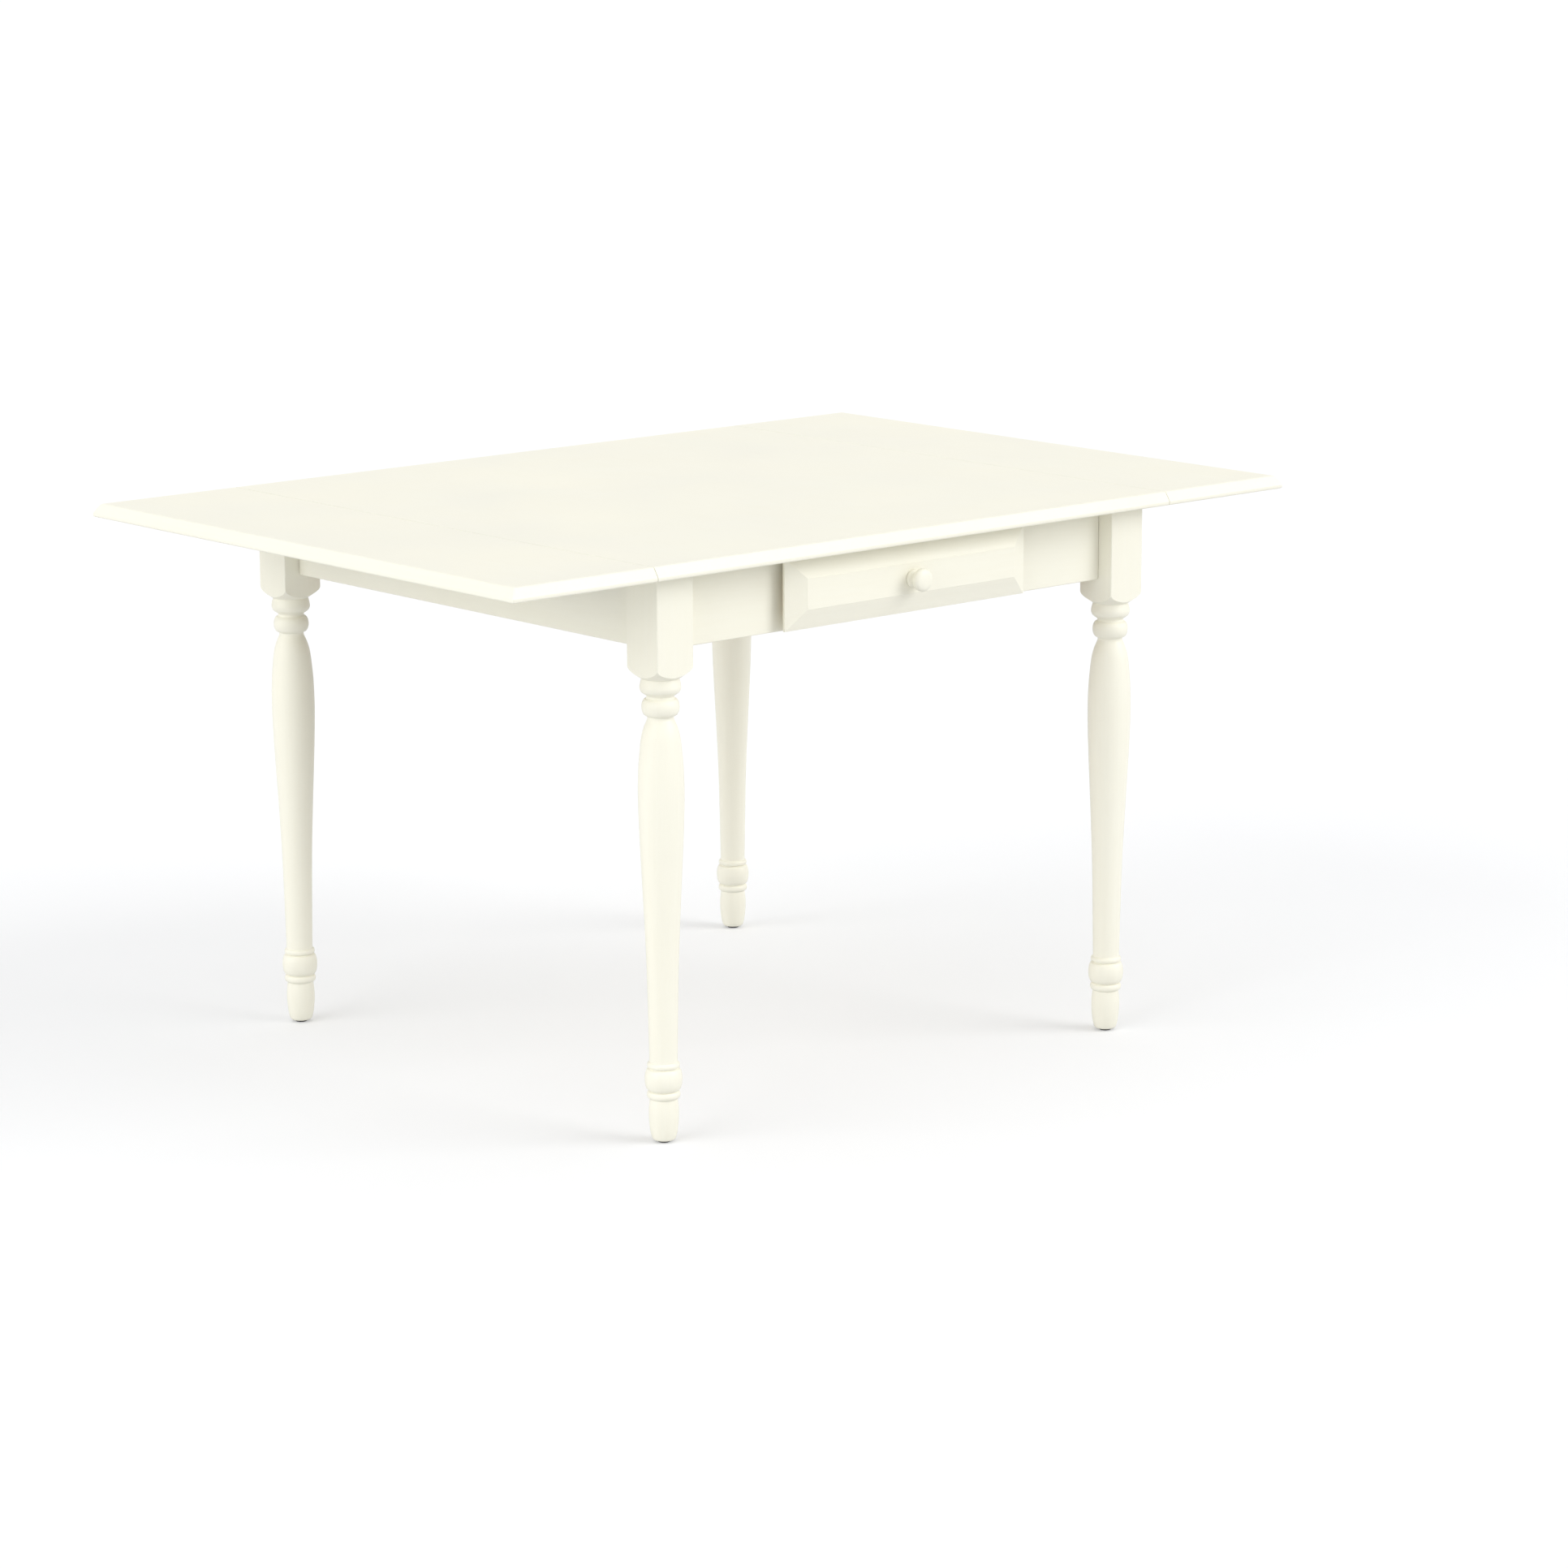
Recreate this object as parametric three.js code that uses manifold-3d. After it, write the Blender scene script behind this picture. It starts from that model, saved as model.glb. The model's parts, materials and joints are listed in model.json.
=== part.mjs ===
// Drop leaf dining table with one drawer: four turned legs, a fixed top, two hinged end leaves.
// Units are millimetres. X runs along the table, -Y is the drawer side, +Z is up, and the floor is z = 0.
// The leaves are raised, and the drawer stands a little open.

import * as THREE from "three";
import { mergeVertices } from "three/addons/utils/BufferGeometryUtils.js";
import Module from "manifold-3d";

// Driving dimensions of the whole table
const TABLE_LENGTH = 1371.6;
const TABLE_WIDTH = 914.4;
const TABLE_HEIGHT = 762;
const LEAF_WIDTH = 228.6;
const TOP_THICKNESS = 18;
const SEAM_GAP = 1;
const CLEARANCE = 0.3;

// Moulded edge of the top, measured in from the edge and down from the surface
const BEVEL_INSET = 8.5;
const BEVEL_DROP = 12;
const LIP_BOTTOM = 15;
const LIP_UNDERCUT = 3.5;

// Legs
const LEG_BLOCK = 60;
const LEG_CENTER_X = 405.1;
const LEG_CENTER_Y = 397.5;
const POMMEL_BOTTOM = 606;
const POMMEL_TOP = 627;
const POMMEL_NECK_RADIUS = 24;
const LEG_SEGMENTS = 16;
const FOOT_BOTTOM = 3.3;
const GLIDE_HEIGHT = 3;
const GLIDE_RADIUS = 8.5;
const GLIDE_NAIL_RADIUS = 1.5;
const GLIDE_NAIL_LENGTH = 14;

// Aprons
const APRON_THICKNESS = 20;
const APRON_SETBACK = 24;
const APRON_BOTTOM = 644;
const APRON_ARRIS = 2;

// Corner blocks and their bolts, measured along the diagonal from the apron's inner corner
const BLOCK_NEAR = 34;
const BLOCK_FAR = 65;
const BLOCK_BOTTOM = 656;
const BLOCK_TOP = 734;
const BOLT_RADIUS = 4;
const BOLT_HEAD_RADIUS = 7.5;
const BOLT_HEAD_HEIGHT = 5.5;
const BOLT_LENGTH = 48;

// Drawer: its front overlaps the aprons beside the opening, and it stands a little open
const DRAWER_FRONT_LENGTH = 429.4;
const DRAWER_FRONT_BOTTOM = 646;
const DRAWER_FRONT_TOP = 741;
const DRAWER_LIP = 4;
const FIELD_RAISE = 11.8;
const FIELD_MARGIN_END = 29.3;
const FIELD_MARGIN_TOP = 27;
const DRAWER_STANDS_OPEN = 12.4;
const OPENING_CLEARANCE = 1.5;
const BOX_HALF_WIDTH = 195.7;
const BOX_BOARD = 12;
const BOX_BOTTOM = 666;
const BOX_TOP = 723;
const BOX_DEPTH = 362;
const PANEL_THICKNESS = 5;
const PANEL_GROOVE_DEPTH = 5;
const PANEL_Z = 671;
const RAIL_HALF_LENGTH = 300;
const RAIL_WIDTH = 40;
const RAIL_THICKNESS = 18;
const RUNNER_LEDGE_WIDTH = 36;
const RUNNER_GUIDE_HEIGHT = 48;
const KICKER_HALF_WIDTH = 20;
const STOP_THICKNESS = 15;
const STOP_DROP = 11.7;
const PULL_OUT = 257;

// Knob
const KNOB_Z = 693;
const KNOB_HEAD_RADIUS = 16.3;
const KNOB_FLANGE_RADIUS = 13;
const KNOB_NECK_RADIUS = 8.5;
const KNOB_LENGTH = 25.2;
const SCREW_RADIUS = 2;
const SCREW_HEAD_RADIUS = 4.5;

// Leaf hinges
const HINGE_DROP = 3;
const HINGE_SIDE_Y = 300;
const HINGE_LENGTH = 60;
const HINGE_PLATE = 2;
const HINGE_PLATE_REACH = 38;
const HINGE_KNUCKLE_RADIUS = 2.7;
const HINGE_PIN_RADIUS = 1.3;
const KNUCKLE_CLEARANCE = 0.5;

// Folding leaf brackets: u is the distance out from the hinge line, v the height above it
const BRACKET_SIDE_Y = 210;
const STEEL = 3;
const STEEL_GAP = 0.4;
const PIVOT = { u: -22, v: -38 };
const GUIDE_UP = { u: 55, v: -8 };
const GUIDE_DOWN_U = -8;
const STRUT_RADIUS = 6.5;
const RIVET_RADIUS = 2.5;
const GUIDE_SLOT_CLEARANCE = 0.7;
const SLOT_RIM = 4.5;
const BRACKET_PLATE_WIDTH = 42;
const BRACKET_PLATE_BOTTOM = 695;
const BRACKET_PLATE_TOP = 736;
const RAIL_FLANGE_WIDTH = 24;

// Places that follow from the driving dimensions
const UNDERSIDE = TABLE_HEIGHT - TOP_THICKNESS;
const HALF_LENGTH = TABLE_LENGTH / 2;
const HALF_WIDTH = TABLE_WIDTH / 2;
const SEAM_X = HALF_LENGTH - LEAF_WIDTH;
const HINGE_Z = UNDERSIDE - HINGE_DROP;
const LEG_TOP = UNDERSIDE - CLEARANCE;
const APRON_FRONT = LEG_CENTER_Y + LEG_BLOCK / 2 - APRON_SETBACK;
const APRON_END = LEG_CENTER_X + LEG_BLOCK / 2 - APRON_SETBACK;
const APRON_INSIDE_Y = APRON_FRONT - APRON_THICKNESS;
const LEG_INSIDE_X = LEG_CENTER_X - LEG_BLOCK / 2;
const LEG_INSIDE_Y = LEG_CENTER_Y - LEG_BLOCK / 2;
const OPENING_HALF_WIDTH = BOX_HALF_WIDTH + OPENING_CLEARANCE;
const DRAWER_BACK_Y = -APRON_FRONT - DRAWER_STANDS_OPEN;
const DRAWER_EDGE_Y = DRAWER_BACK_Y - DRAWER_LIP;
const FIELD_Y = DRAWER_EDGE_Y - FIELD_RAISE;
const BOX_FRONT_Y = DRAWER_BACK_Y + CLEARANCE;
const BOX_REAR_Y = BOX_FRONT_Y + BOX_DEPTH;
const RAIL_REAR_Y = -APRON_INSIDE_Y + CLEARANCE + RAIL_WIDTH;
const PIVOT_TO_GUIDE = Math.hypot(GUIDE_UP.u - PIVOT.u, GUIDE_UP.v - PIVOT.v);
const STRUT_UP_ANGLE = Math.atan2(GUIDE_UP.v - PIVOT.v, GUIDE_UP.u - PIVOT.u);
const STRUT_DOWN_ANGLE = -Math.acos((GUIDE_DOWN_U - PIVOT.u) / PIVOT_TO_GUIDE);
const STRUT_TURN = STRUT_UP_ANGLE - STRUT_DOWN_ANGLE;

const wasm = await Module();
wasm.setup();

// Materials
function material(color, roughness, metalness) {
  return () => new THREE.MeshStandardMaterial({ color, roughness, metalness });
}
const paintedWood = material(0xf3f0e2, 0.42, 0);
const plainWood = material(0xcfb38a, 0.7, 0);
const steel = material(0xb9bcc0, 0.35, 1);
const blackRubber = material(0x1d1c1b, 0.8, 0);

// Solids: three.js shapes turned into manifold solids, so that they can be joined and cut
function solid(geometry) {
  const bare = geometry.index ? geometry.toNonIndexed() : geometry.clone();
  bare.deleteAttribute("normal");
  bare.deleteAttribute("uv");
  const merged = mergeVertices(bare, 1e-3);
  return new wasm.Manifold(
    new wasm.Mesh({
      numProp: 3,
      vertProperties: merged.attributes.position.array,
      triVerts: new Uint32Array(merged.index.array),
    }),
  );
}

function meshOf(name, shape, finish) {
  const made = shape.getMesh();
  const geometry = new THREE.BufferGeometry();
  geometry.setAttribute("position", new THREE.BufferAttribute(made.vertProperties, 3));
  geometry.setIndex(new THREE.BufferAttribute(made.triVerts, 1));
  geometry.computeVertexNormals();
  const mesh = new THREE.Mesh(geometry, finish());
  mesh.name = name;
  return mesh;
}

// A box between two corners
function box(low, high) {
  const size = high.map((value, axis) => value - low[axis]);
  const middle = high.map((value, axis) => (value + low[axis]) / 2);
  return solid(new THREE.BoxGeometry(...size).translate(...middle));
}

function outlineOf(points) {
  return new THREE.Shape(points.map(([a, b]) => new THREE.Vector2(a, b)));
}

// A prism along X with its outline in (y, z)
function prismAlongX(shape, from, to, segments = 8) {
  const geometry = new THREE.ExtrudeGeometry(shape, {
    depth: to - from,
    bevelEnabled: false,
    curveSegments: segments,
  });
  geometry.applyMatrix4(
    new THREE.Matrix4().makeBasis(
      new THREE.Vector3(0, 1, 0),
      new THREE.Vector3(0, 0, 1),
      new THREE.Vector3(1, 0, 0),
    ),
  );
  return solid(geometry.translate(from, 0, 0));
}

// A prism along Y with its outline in (x, z)
function prismAlongY(shape, from, to, segments = 8) {
  const geometry = new THREE.ExtrudeGeometry(shape, {
    depth: to - from,
    bevelEnabled: false,
    curveSegments: segments,
  });
  return solid(geometry.rotateX(Math.PI / 2).translate(0, to, 0));
}

// A prism along Z with its outline in (x, y)
function prismAlongZ(points, from, to) {
  const geometry = new THREE.ExtrudeGeometry(outlineOf(points), {
    depth: to - from,
    bevelEnabled: false,
  });
  return solid(geometry.translate(0, 0, from));
}

function cylinderAlongY(x, z, radius, from, to, segments = 12) {
  const geometry = new THREE.CylinderGeometry(radius, radius, to - from, segments);
  return solid(geometry.translate(x, (from + to) / 2, z));
}

// A turned solid about the Z axis from [radius, z] points that start and end on the axis
function turned(points, segments) {
  const profile = points.map(([radius, z]) => new THREE.Vector2(radius, z));
  return solid(new THREE.LatheGeometry(profile, segments).rotateX(Math.PI / 2));
}

// The tabletop: a moulded edge all round, square where a leaf meets the fixed panel
function edgeOutline(halfSpan, farSideMoulded = true) {
  const near = [
    [-halfSpan + LIP_UNDERCUT, UNDERSIDE],
    [-halfSpan, TABLE_HEIGHT - LIP_BOTTOM],
    [-halfSpan, TABLE_HEIGHT - BEVEL_DROP],
    [-halfSpan + BEVEL_INSET, TABLE_HEIGHT],
  ];
  const far = farSideMoulded
    ? near.map(([across, z]) => [-across, z]).reverse()
    : [
        [halfSpan, TABLE_HEIGHT],
        [halfSpan, UNDERSIDE],
      ];
  return outlineOf([...near, ...far].reverse());
}

function topPanel() {
  const reach = SEAM_X - SEAM_GAP / 2;
  return prismAlongX(edgeOutline(HALF_WIDTH), -reach, reach);
}

// One leaf of the -X end: its own moulded outer end, and its long sides mitred into it
function leafPanel() {
  const outerHalf = HALF_LENGTH;
  const sides = prismAlongX(edgeOutline(HALF_WIDTH), -outerHalf, -SEAM_X - SEAM_GAP / 2);
  const end = prismAlongY(edgeOutline(outerHalf, false), -HALF_WIDTH, HALF_WIDTH);
  return sides.intersect(end);
}

// A rounded bead of a turning: from its lower to its upper edge, out to the widest radius
function bead(lowZ, highZ, edgeRadius, widestRadius, steps = 4) {
  const middle = (lowZ + highZ) / 2;
  const half = (highZ - lowZ) / 2;
  return Array.from({ length: steps + 1 }, (_, i) => {
    const angle = Math.PI * (i / steps - 0.5);
    const swell = (widestRadius - edgeRadius) * Math.cos(angle);
    return [edgeRadius + swell, middle + half * Math.sin(angle)];
  });
}

function smooth(points, steps) {
  const curve = new THREE.SplineCurve(points.map(([r, z]) => new THREE.Vector2(r, z)));
  return curve.getPoints(steps).map((point) => [point.x, point.y]);
}

function legProfile() {
  return [
    [0, FOOT_BOTTOM],
    ...smooth([[13.5, FOOT_BOTTOM], [17.4, 12], [19.3, 30], [19.2, 46], [17.8, 58]], 4),
    ...bead(59, 68, 18.4, 21.6, 2),
    ...bead(70, 97.5, 19.6, 24.3, 4),
    ...bead(99, 106, 18.6, 21.1, 2),
    ...smooth([[18.2, 107.5], [20.6, 230], [25.4, 345], [29.7, 452], [28, 505], [21.5, 545], [17, 557]], 9),
    ...bead(559.5, 582.5, 18, 24.3),
    [17.7, 585],
    ...bead(587.5, 605, 20, 26.6),
    [POMMEL_NECK_RADIUS, POMMEL_BOTTOM],
    [POMMEL_NECK_RADIUS, POMMEL_TOP],
    [0, POMMEL_TOP],
  ];
}

// The square block with its lower end rounded off in the lathe
function legBlock() {
  const half = LEG_BLOCK / 2;
  const corner = Math.hypot(half, half) + 1;
  const rise = POMMEL_TOP - POMMEL_BOTTOM;
  const steps = 5;
  const ovolo = Array.from({ length: steps + 1 }, (_, i) => {
    const angle = (Math.PI / 2) * (i / steps);
    const radius = POMMEL_NECK_RADIUS + (corner - POMMEL_NECK_RADIUS) * Math.sin(angle);
    return [radius, POMMEL_TOP - rise * Math.cos(angle)];
  });
  const rounded = turned([[0, POMMEL_BOTTOM], ...ovolo, [corner, LEG_TOP], [0, LEG_TOP]], 24);
  return box([-half, -half, POMMEL_BOTTOM], [half, half, LEG_TOP]).intersect(rounded);
}

// Everything of one corner lies about the leg's own axis, with the table's middle towards +X +Y
const APRON_INNER_CORNER = APRON_SETBACK + APRON_THICKNESS - LEG_BLOCK / 2;

function boltSolid(radius, headRadius, headHeight) {
  const shank = new THREE.CylinderGeometry(radius, radius, BOLT_LENGTH + 1, 12);
  const head = new THREE.CylinderGeometry(headRadius, headRadius, headHeight, 6);
  shank.rotateX(Math.PI / 2).translate(0, 0, (1 - BOLT_LENGTH) / 2);
  head.rotateX(Math.PI / 2).translate(0, 0, CLEARANCE + headHeight / 2);
  const intoTable = new THREE.Matrix4().makeBasis(
    new THREE.Vector3(0, 0, 1),
    new THREE.Vector3(Math.SQRT1_2, -Math.SQRT1_2, 0),
    new THREE.Vector3(Math.SQRT1_2, Math.SQRT1_2, 0),
  );
  const across = BLOCK_FAR / 2 + APRON_INNER_CORNER;
  const height = (BLOCK_BOTTOM + BLOCK_TOP) / 2;
  const pieces = [shank, head].map((geometry) =>
    solid(geometry.applyMatrix4(intoTable).translate(across, across, height)),
  );
  return pieces[0].add(pieces[1]);
}

function glideSolid(clearance = 0) {
  const nail = GLIDE_NAIL_RADIUS + clearance;
  const top = GLIDE_NAIL_LENGTH + clearance;
  return turned(
    [[0, 0], [GLIDE_RADIUS - 1, 0], [GLIDE_RADIUS, 1], [GLIDE_RADIUS, GLIDE_HEIGHT],
      [nail, GLIDE_HEIGHT], [nail, top], [0, top]],
    16,
  );
}

function cornerSolids() {
  const bolt = boltSolid(BOLT_RADIUS, BOLT_HEAD_RADIUS, BOLT_HEAD_HEIGHT);
  const boltHole = boltSolid(BOLT_RADIUS + CLEARANCE, BOLT_RADIUS + CLEARANCE, 1);
  const leg = turned(legProfile(), LEG_SEGMENTS).add(legBlock());
  const near = BLOCK_NEAR + APRON_INNER_CORNER;
  const far = BLOCK_FAR + APRON_INNER_CORNER;
  const face = APRON_INNER_CORNER + CLEARANCE;
  const block = prismAlongZ([[near, face], [far, face], [face, far], [face, near]], BLOCK_BOTTOM, BLOCK_TOP);
  return {
    leg: [leg.subtract(boltHole).subtract(glideSolid(CLEARANCE)), paintedWood],
    glide: [glideSolid(), blackRubber],
    corner_block: [block.subtract(boltHole), plainWood],
    corner_bolt: [bolt, steel],
  };
}

function addCorners(table) {
  const corners = [
    ["front_left", -1, -1, 0],
    ["front_right", 1, -1, Math.PI / 2],
    ["back_right", 1, 1, Math.PI],
    ["back_left", -1, 1, -Math.PI / 2],
  ];
  for (const [name, sideX, sideY, turn] of corners) {
    const corner = new THREE.Group();
    corner.position.set(sideX * LEG_CENTER_X, sideY * LEG_CENTER_Y, 0);
    corner.rotation.z = turn;
    for (const [piece, [shape, finish]] of Object.entries(cornerSolids()))
      corner.add(meshOf(`${name}_${piece}`, shape, finish));
    table.add(corner);
  }
}

// An apron board from one [across, z] face line to the other, with its lower outer arris eased
function apronOutline(outerFace) {
  const inward = -Math.sign(outerFace);
  return outlineOf([
    [outerFace, APRON_BOTTOM + APRON_ARRIS],
    [outerFace, LEG_TOP],
    [outerFace + inward * APRON_THICKNESS, LEG_TOP],
    [outerFace + inward * APRON_THICKNESS, APRON_BOTTOM],
    [outerFace + inward * APRON_ARRIS, APRON_BOTTOM],
  ]);
}

function addAprons(table) {
  const legFace = LEG_INSIDE_X - CLEARANCE;
  const front = apronOutline(-APRON_FRONT);
  const left = prismAlongX(front, -legFace, -OPENING_HALF_WIDTH);
  const right = prismAlongX(front, OPENING_HALF_WIDTH, legFace);
  const back = prismAlongX(apronOutline(APRON_FRONT), -legFace, legFace);
  const endReach = LEG_INSIDE_Y - CLEARANCE;
  table.add(
    meshOf("front_left_apron", left, paintedWood),
    meshOf("front_right_apron", right, paintedWood),
    meshOf("back_apron", back, paintedWood),
  );
  for (const [name, side] of [["left", -1], ["right", 1]]) {
    const board = prismAlongY(apronOutline(side * APRON_END), -endReach, endReach);
    table.add(meshOf(`${name}_end_apron`, board, paintedWood));
  }
}

// Rails, runners, kicker and stops that carry and guide the drawer
function addDrawerSupports(table) {
  const railFront = RAIL_REAR_Y - RAIL_WIDTH;
  const upperBottom = LEG_TOP - RAIL_THICKNESS;
  const lowerTop = DRAWER_FRONT_BOTTOM + RAIL_THICKNESS;
  const upper = box([-RAIL_HALF_LENGTH, railFront, upperBottom], [RAIL_HALF_LENGTH, RAIL_REAR_Y, LEG_TOP]);
  const lower = box(
    [-RAIL_HALF_LENGTH, railFront, DRAWER_FRONT_BOTTOM],
    [RAIL_HALF_LENGTH, RAIL_REAR_Y, lowerTop],
  );
  table.add(meshOf("drawer_upper_rail", upper, plainWood), meshOf("drawer_lower_rail", lower, plainWood));

  const runnerFront = RAIL_REAR_Y + CLEARANCE;
  const runnerRear = APRON_INSIDE_Y - CLEARANCE;
  const guideFace = BOX_HALF_WIDTH + 0.8;
  const ledgeTop = BOX_BOTTOM - CLEARANCE;
  const outer = guideFace + RUNNER_LEDGE_WIDTH / 2;
  for (const [name, side] of [["left", -1], ["right", 1]]) {
    const runner = outlineOf([
      [side * (outer - RUNNER_LEDGE_WIDTH), DRAWER_FRONT_BOTTOM + 6],
      [side * outer, DRAWER_FRONT_BOTTOM + 6],
      [side * outer, DRAWER_FRONT_BOTTOM + 6 + RUNNER_GUIDE_HEIGHT],
      [side * guideFace, DRAWER_FRONT_BOTTOM + 6 + RUNNER_GUIDE_HEIGHT],
      [side * guideFace, ledgeTop],
      [side * (outer - RUNNER_LEDGE_WIDTH), ledgeTop],
    ]);
    table.add(meshOf(`${name}_drawer_runner`, prismAlongY(runner, runnerFront, runnerRear), plainWood));
  }

  const kickerBottom = BOX_TOP + 1;
  const kicker = box(
    [-KICKER_HALF_WIDTH, runnerFront, kickerBottom],
    [KICKER_HALF_WIDTH, runnerRear, LEG_TOP],
  );
  const backBoardFront = BOX_REAR_Y - BOX_BOARD;
  const pullOutFace = backBoardFront - PULL_OUT;
  const closedFace = BOX_REAR_Y + DRAWER_STANDS_OPEN + CLEARANCE;
  const stop = (from) =>
    box(
      [-KICKER_HALF_WIDTH, from, kickerBottom - CLEARANCE - STOP_DROP],
      [KICKER_HALF_WIDTH, from + STOP_THICKNESS, kickerBottom - CLEARANCE],
    );
  table.add(
    meshOf("drawer_kicker", kicker, plainWood),
    meshOf("drawer_pullout_stop", stop(pullOutFace - STOP_THICKNESS), plainWood),
    meshOf("drawer_closing_stop", stop(closedFace), plainWood),
  );
}

// A raised panel: a thin edge, four bevels mitred at the corners, and a flat field
function drawerFront() {
  const halfLength = DRAWER_FRONT_LENGTH / 2;
  const fieldHalf = halfLength - FIELD_MARGIN_END;
  const lengthwise = outlineOf([
    [-halfLength, -DRAWER_BACK_Y],
    [halfLength, -DRAWER_BACK_Y],
    [halfLength, -DRAWER_EDGE_Y],
    [fieldHalf, -FIELD_Y],
    [-fieldHalf, -FIELD_Y],
    [-halfLength, -DRAWER_EDGE_Y],
  ]);
  const plan = new THREE.ExtrudeGeometry(lengthwise, {
    depth: DRAWER_FRONT_TOP - DRAWER_FRONT_BOTTOM,
    bevelEnabled: false,
  });
  plan.rotateX(Math.PI).translate(0, 0, DRAWER_FRONT_TOP);
  const upright = outlineOf([
    [DRAWER_BACK_Y, DRAWER_FRONT_BOTTOM],
    [DRAWER_BACK_Y, DRAWER_FRONT_TOP],
    [DRAWER_EDGE_Y, DRAWER_FRONT_TOP],
    [FIELD_Y, DRAWER_FRONT_TOP - FIELD_MARGIN_TOP],
    [FIELD_Y, DRAWER_FRONT_BOTTOM + FIELD_MARGIN_TOP],
    [DRAWER_EDGE_Y, DRAWER_FRONT_BOTTOM],
  ]);
  return solid(plan).intersect(prismAlongX(upright, -halfLength, halfLength));
}

function knobSolid() {
  const start = FIELD_Y - CLEARANCE;
  const profile = smooth(
    [[KNOB_FLANGE_RADIUS, 2.5], [KNOB_NECK_RADIUS, 7], [KNOB_NECK_RADIUS + 3, 11.5],
    [KNOB_HEAD_RADIUS, 17.5],
      [KNOB_HEAD_RADIUS - 5, 22.8], [0, KNOB_LENGTH]],
    9,
  );
  const points = [[0, 0], [KNOB_FLANGE_RADIUS, 0], ...profile];
  const shape = points.map(([radius, out]) => new THREE.Vector2(radius, out));
  const geometry = new THREE.LatheGeometry(shape, 14);
  return solid(geometry.rotateX(Math.PI).translate(0, start, KNOB_Z));
}

function knobScrew(clearance = 0) {
  const inside = BOX_FRONT_Y + BOX_BOARD;
  const shank = cylinderAlongY(0, KNOB_Z, SCREW_RADIUS + clearance, FIELD_Y - 13 - clearance, inside + 1);
  const head = cylinderAlongY(0, KNOB_Z, SCREW_HEAD_RADIUS, inside + CLEARANCE, inside + CLEARANCE + 2.5);
  return clearance > 0 ? shank : shank.add(head);
}

function addDrawer(table) {
  const screwHole = knobScrew(CLEARANCE);
  const boxFrontInside = BOX_FRONT_Y + BOX_BOARD;
  const sideInside = BOX_HALF_WIDTH - BOX_BOARD;
  const backFront = BOX_REAR_Y - BOX_BOARD;
  const grooveLow = PANEL_Z - CLEARANCE;
  const grooveHigh = PANEL_Z + PANEL_THICKNESS + CLEARANCE;
  const grooveFloor = CLEARANCE - PANEL_GROOVE_DEPTH;
  const groove = box(
    [-sideInside + grooveFloor, boxFrontInside + grooveFloor, grooveLow],
    [sideInside - grooveFloor, BOX_REAR_Y + 1, grooveHigh],
  );
  const boxFront = box(
    [-BOX_HALF_WIDTH, BOX_FRONT_Y, BOX_BOTTOM],
    [BOX_HALF_WIDTH, boxFrontInside, BOX_TOP],
  );
  const back = box(
    [-sideInside + CLEARANCE, backFront, grooveHigh],
    [sideInside - CLEARANCE, BOX_REAR_Y, BOX_TOP],
  );
  const panelEdge = sideInside + PANEL_GROOVE_DEPTH - 2 * CLEARANCE;
  const bottom = box(
    [-panelEdge, boxFrontInside - PANEL_GROOVE_DEPTH + 2 * CLEARANCE, PANEL_Z],
    [panelEdge, BOX_REAR_Y, PANEL_Z + PANEL_THICKNESS],
  );
  table.add(
    meshOf("drawer_front", drawerFront().subtract(screwHole), paintedWood),
    meshOf("drawer_box_front", boxFront.subtract(groove).subtract(screwHole), plainWood),
    meshOf("drawer_back", back, plainWood),
    meshOf("drawer_bottom", bottom, plainWood),
    meshOf("drawer_knob", knobSolid().subtract(screwHole), paintedWood),
    meshOf("knob_screw", knobScrew(), steel),
  );
  for (const [name, side] of [["left", -1], ["right", 1]]) {
    const low = Math.min(side * sideInside, side * BOX_HALF_WIDTH);
    const high = Math.max(side * sideInside, side * BOX_HALF_WIDTH);
    const board = box([low, boxFrontInside + CLEARANCE, BOX_BOTTOM], [high, BOX_REAR_Y, BOX_TOP]);
    table.add(meshOf(`drawer_${name}_side`, board.subtract(groove), plainWood));
  }
}

// Leaf hinge: knuckles about the hinge line, a fixed plate towards the middle, a moving plate outwards.
// Local axes: the hinge line lies along Y through the origin, and -X points out under the leaf.
function hingeSolids() {
  const half = HINGE_LENGTH / 2;
  const middleHalf = HINGE_LENGTH / 6;
  const top = HINGE_DROP - CLEARANCE;
  const low = top - HINGE_PLATE;
  const clear = HINGE_KNUCKLE_RADIUS + KNUCKLE_CLEARANCE;
  const fixedPlate = box([0, -half, low], [HINGE_PLATE_REACH, half, top]);
  const notchHalf = middleHalf + KNUCKLE_CLEARANCE;
  const fixedNotch = box([-1, -notchHalf, low - 1], [clear, notchHalf, top + 1]);
  const knuckle = (from, to) => cylinderAlongY(0, 0, HINGE_KNUCKLE_RADIUS, from, to);
  const pin = cylinderAlongY(0, 0, HINGE_PIN_RADIUS, -half + 1, half - 1);
  const fixed = fixedPlate
    .subtract(fixedNotch)
    .add(knuckle(-half, -notchHalf))
    .add(knuckle(notchHalf, half))
    .add(pin);
  const movingPlate = box([-HINGE_PLATE_REACH, -half, low], [-clear, half, top]);
  const tab = box([-clear - 1, -middleHalf, low], [0, middleHalf, top]);
  const bore = cylinderAlongY(0, 0, HINGE_PIN_RADIUS + CLEARANCE, -half, half);
  const moving = movingPlate.add(tab).add(knuckle(-middleHalf, middleHalf)).subtract(bore);
  return { fixed, moving };
}

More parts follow.
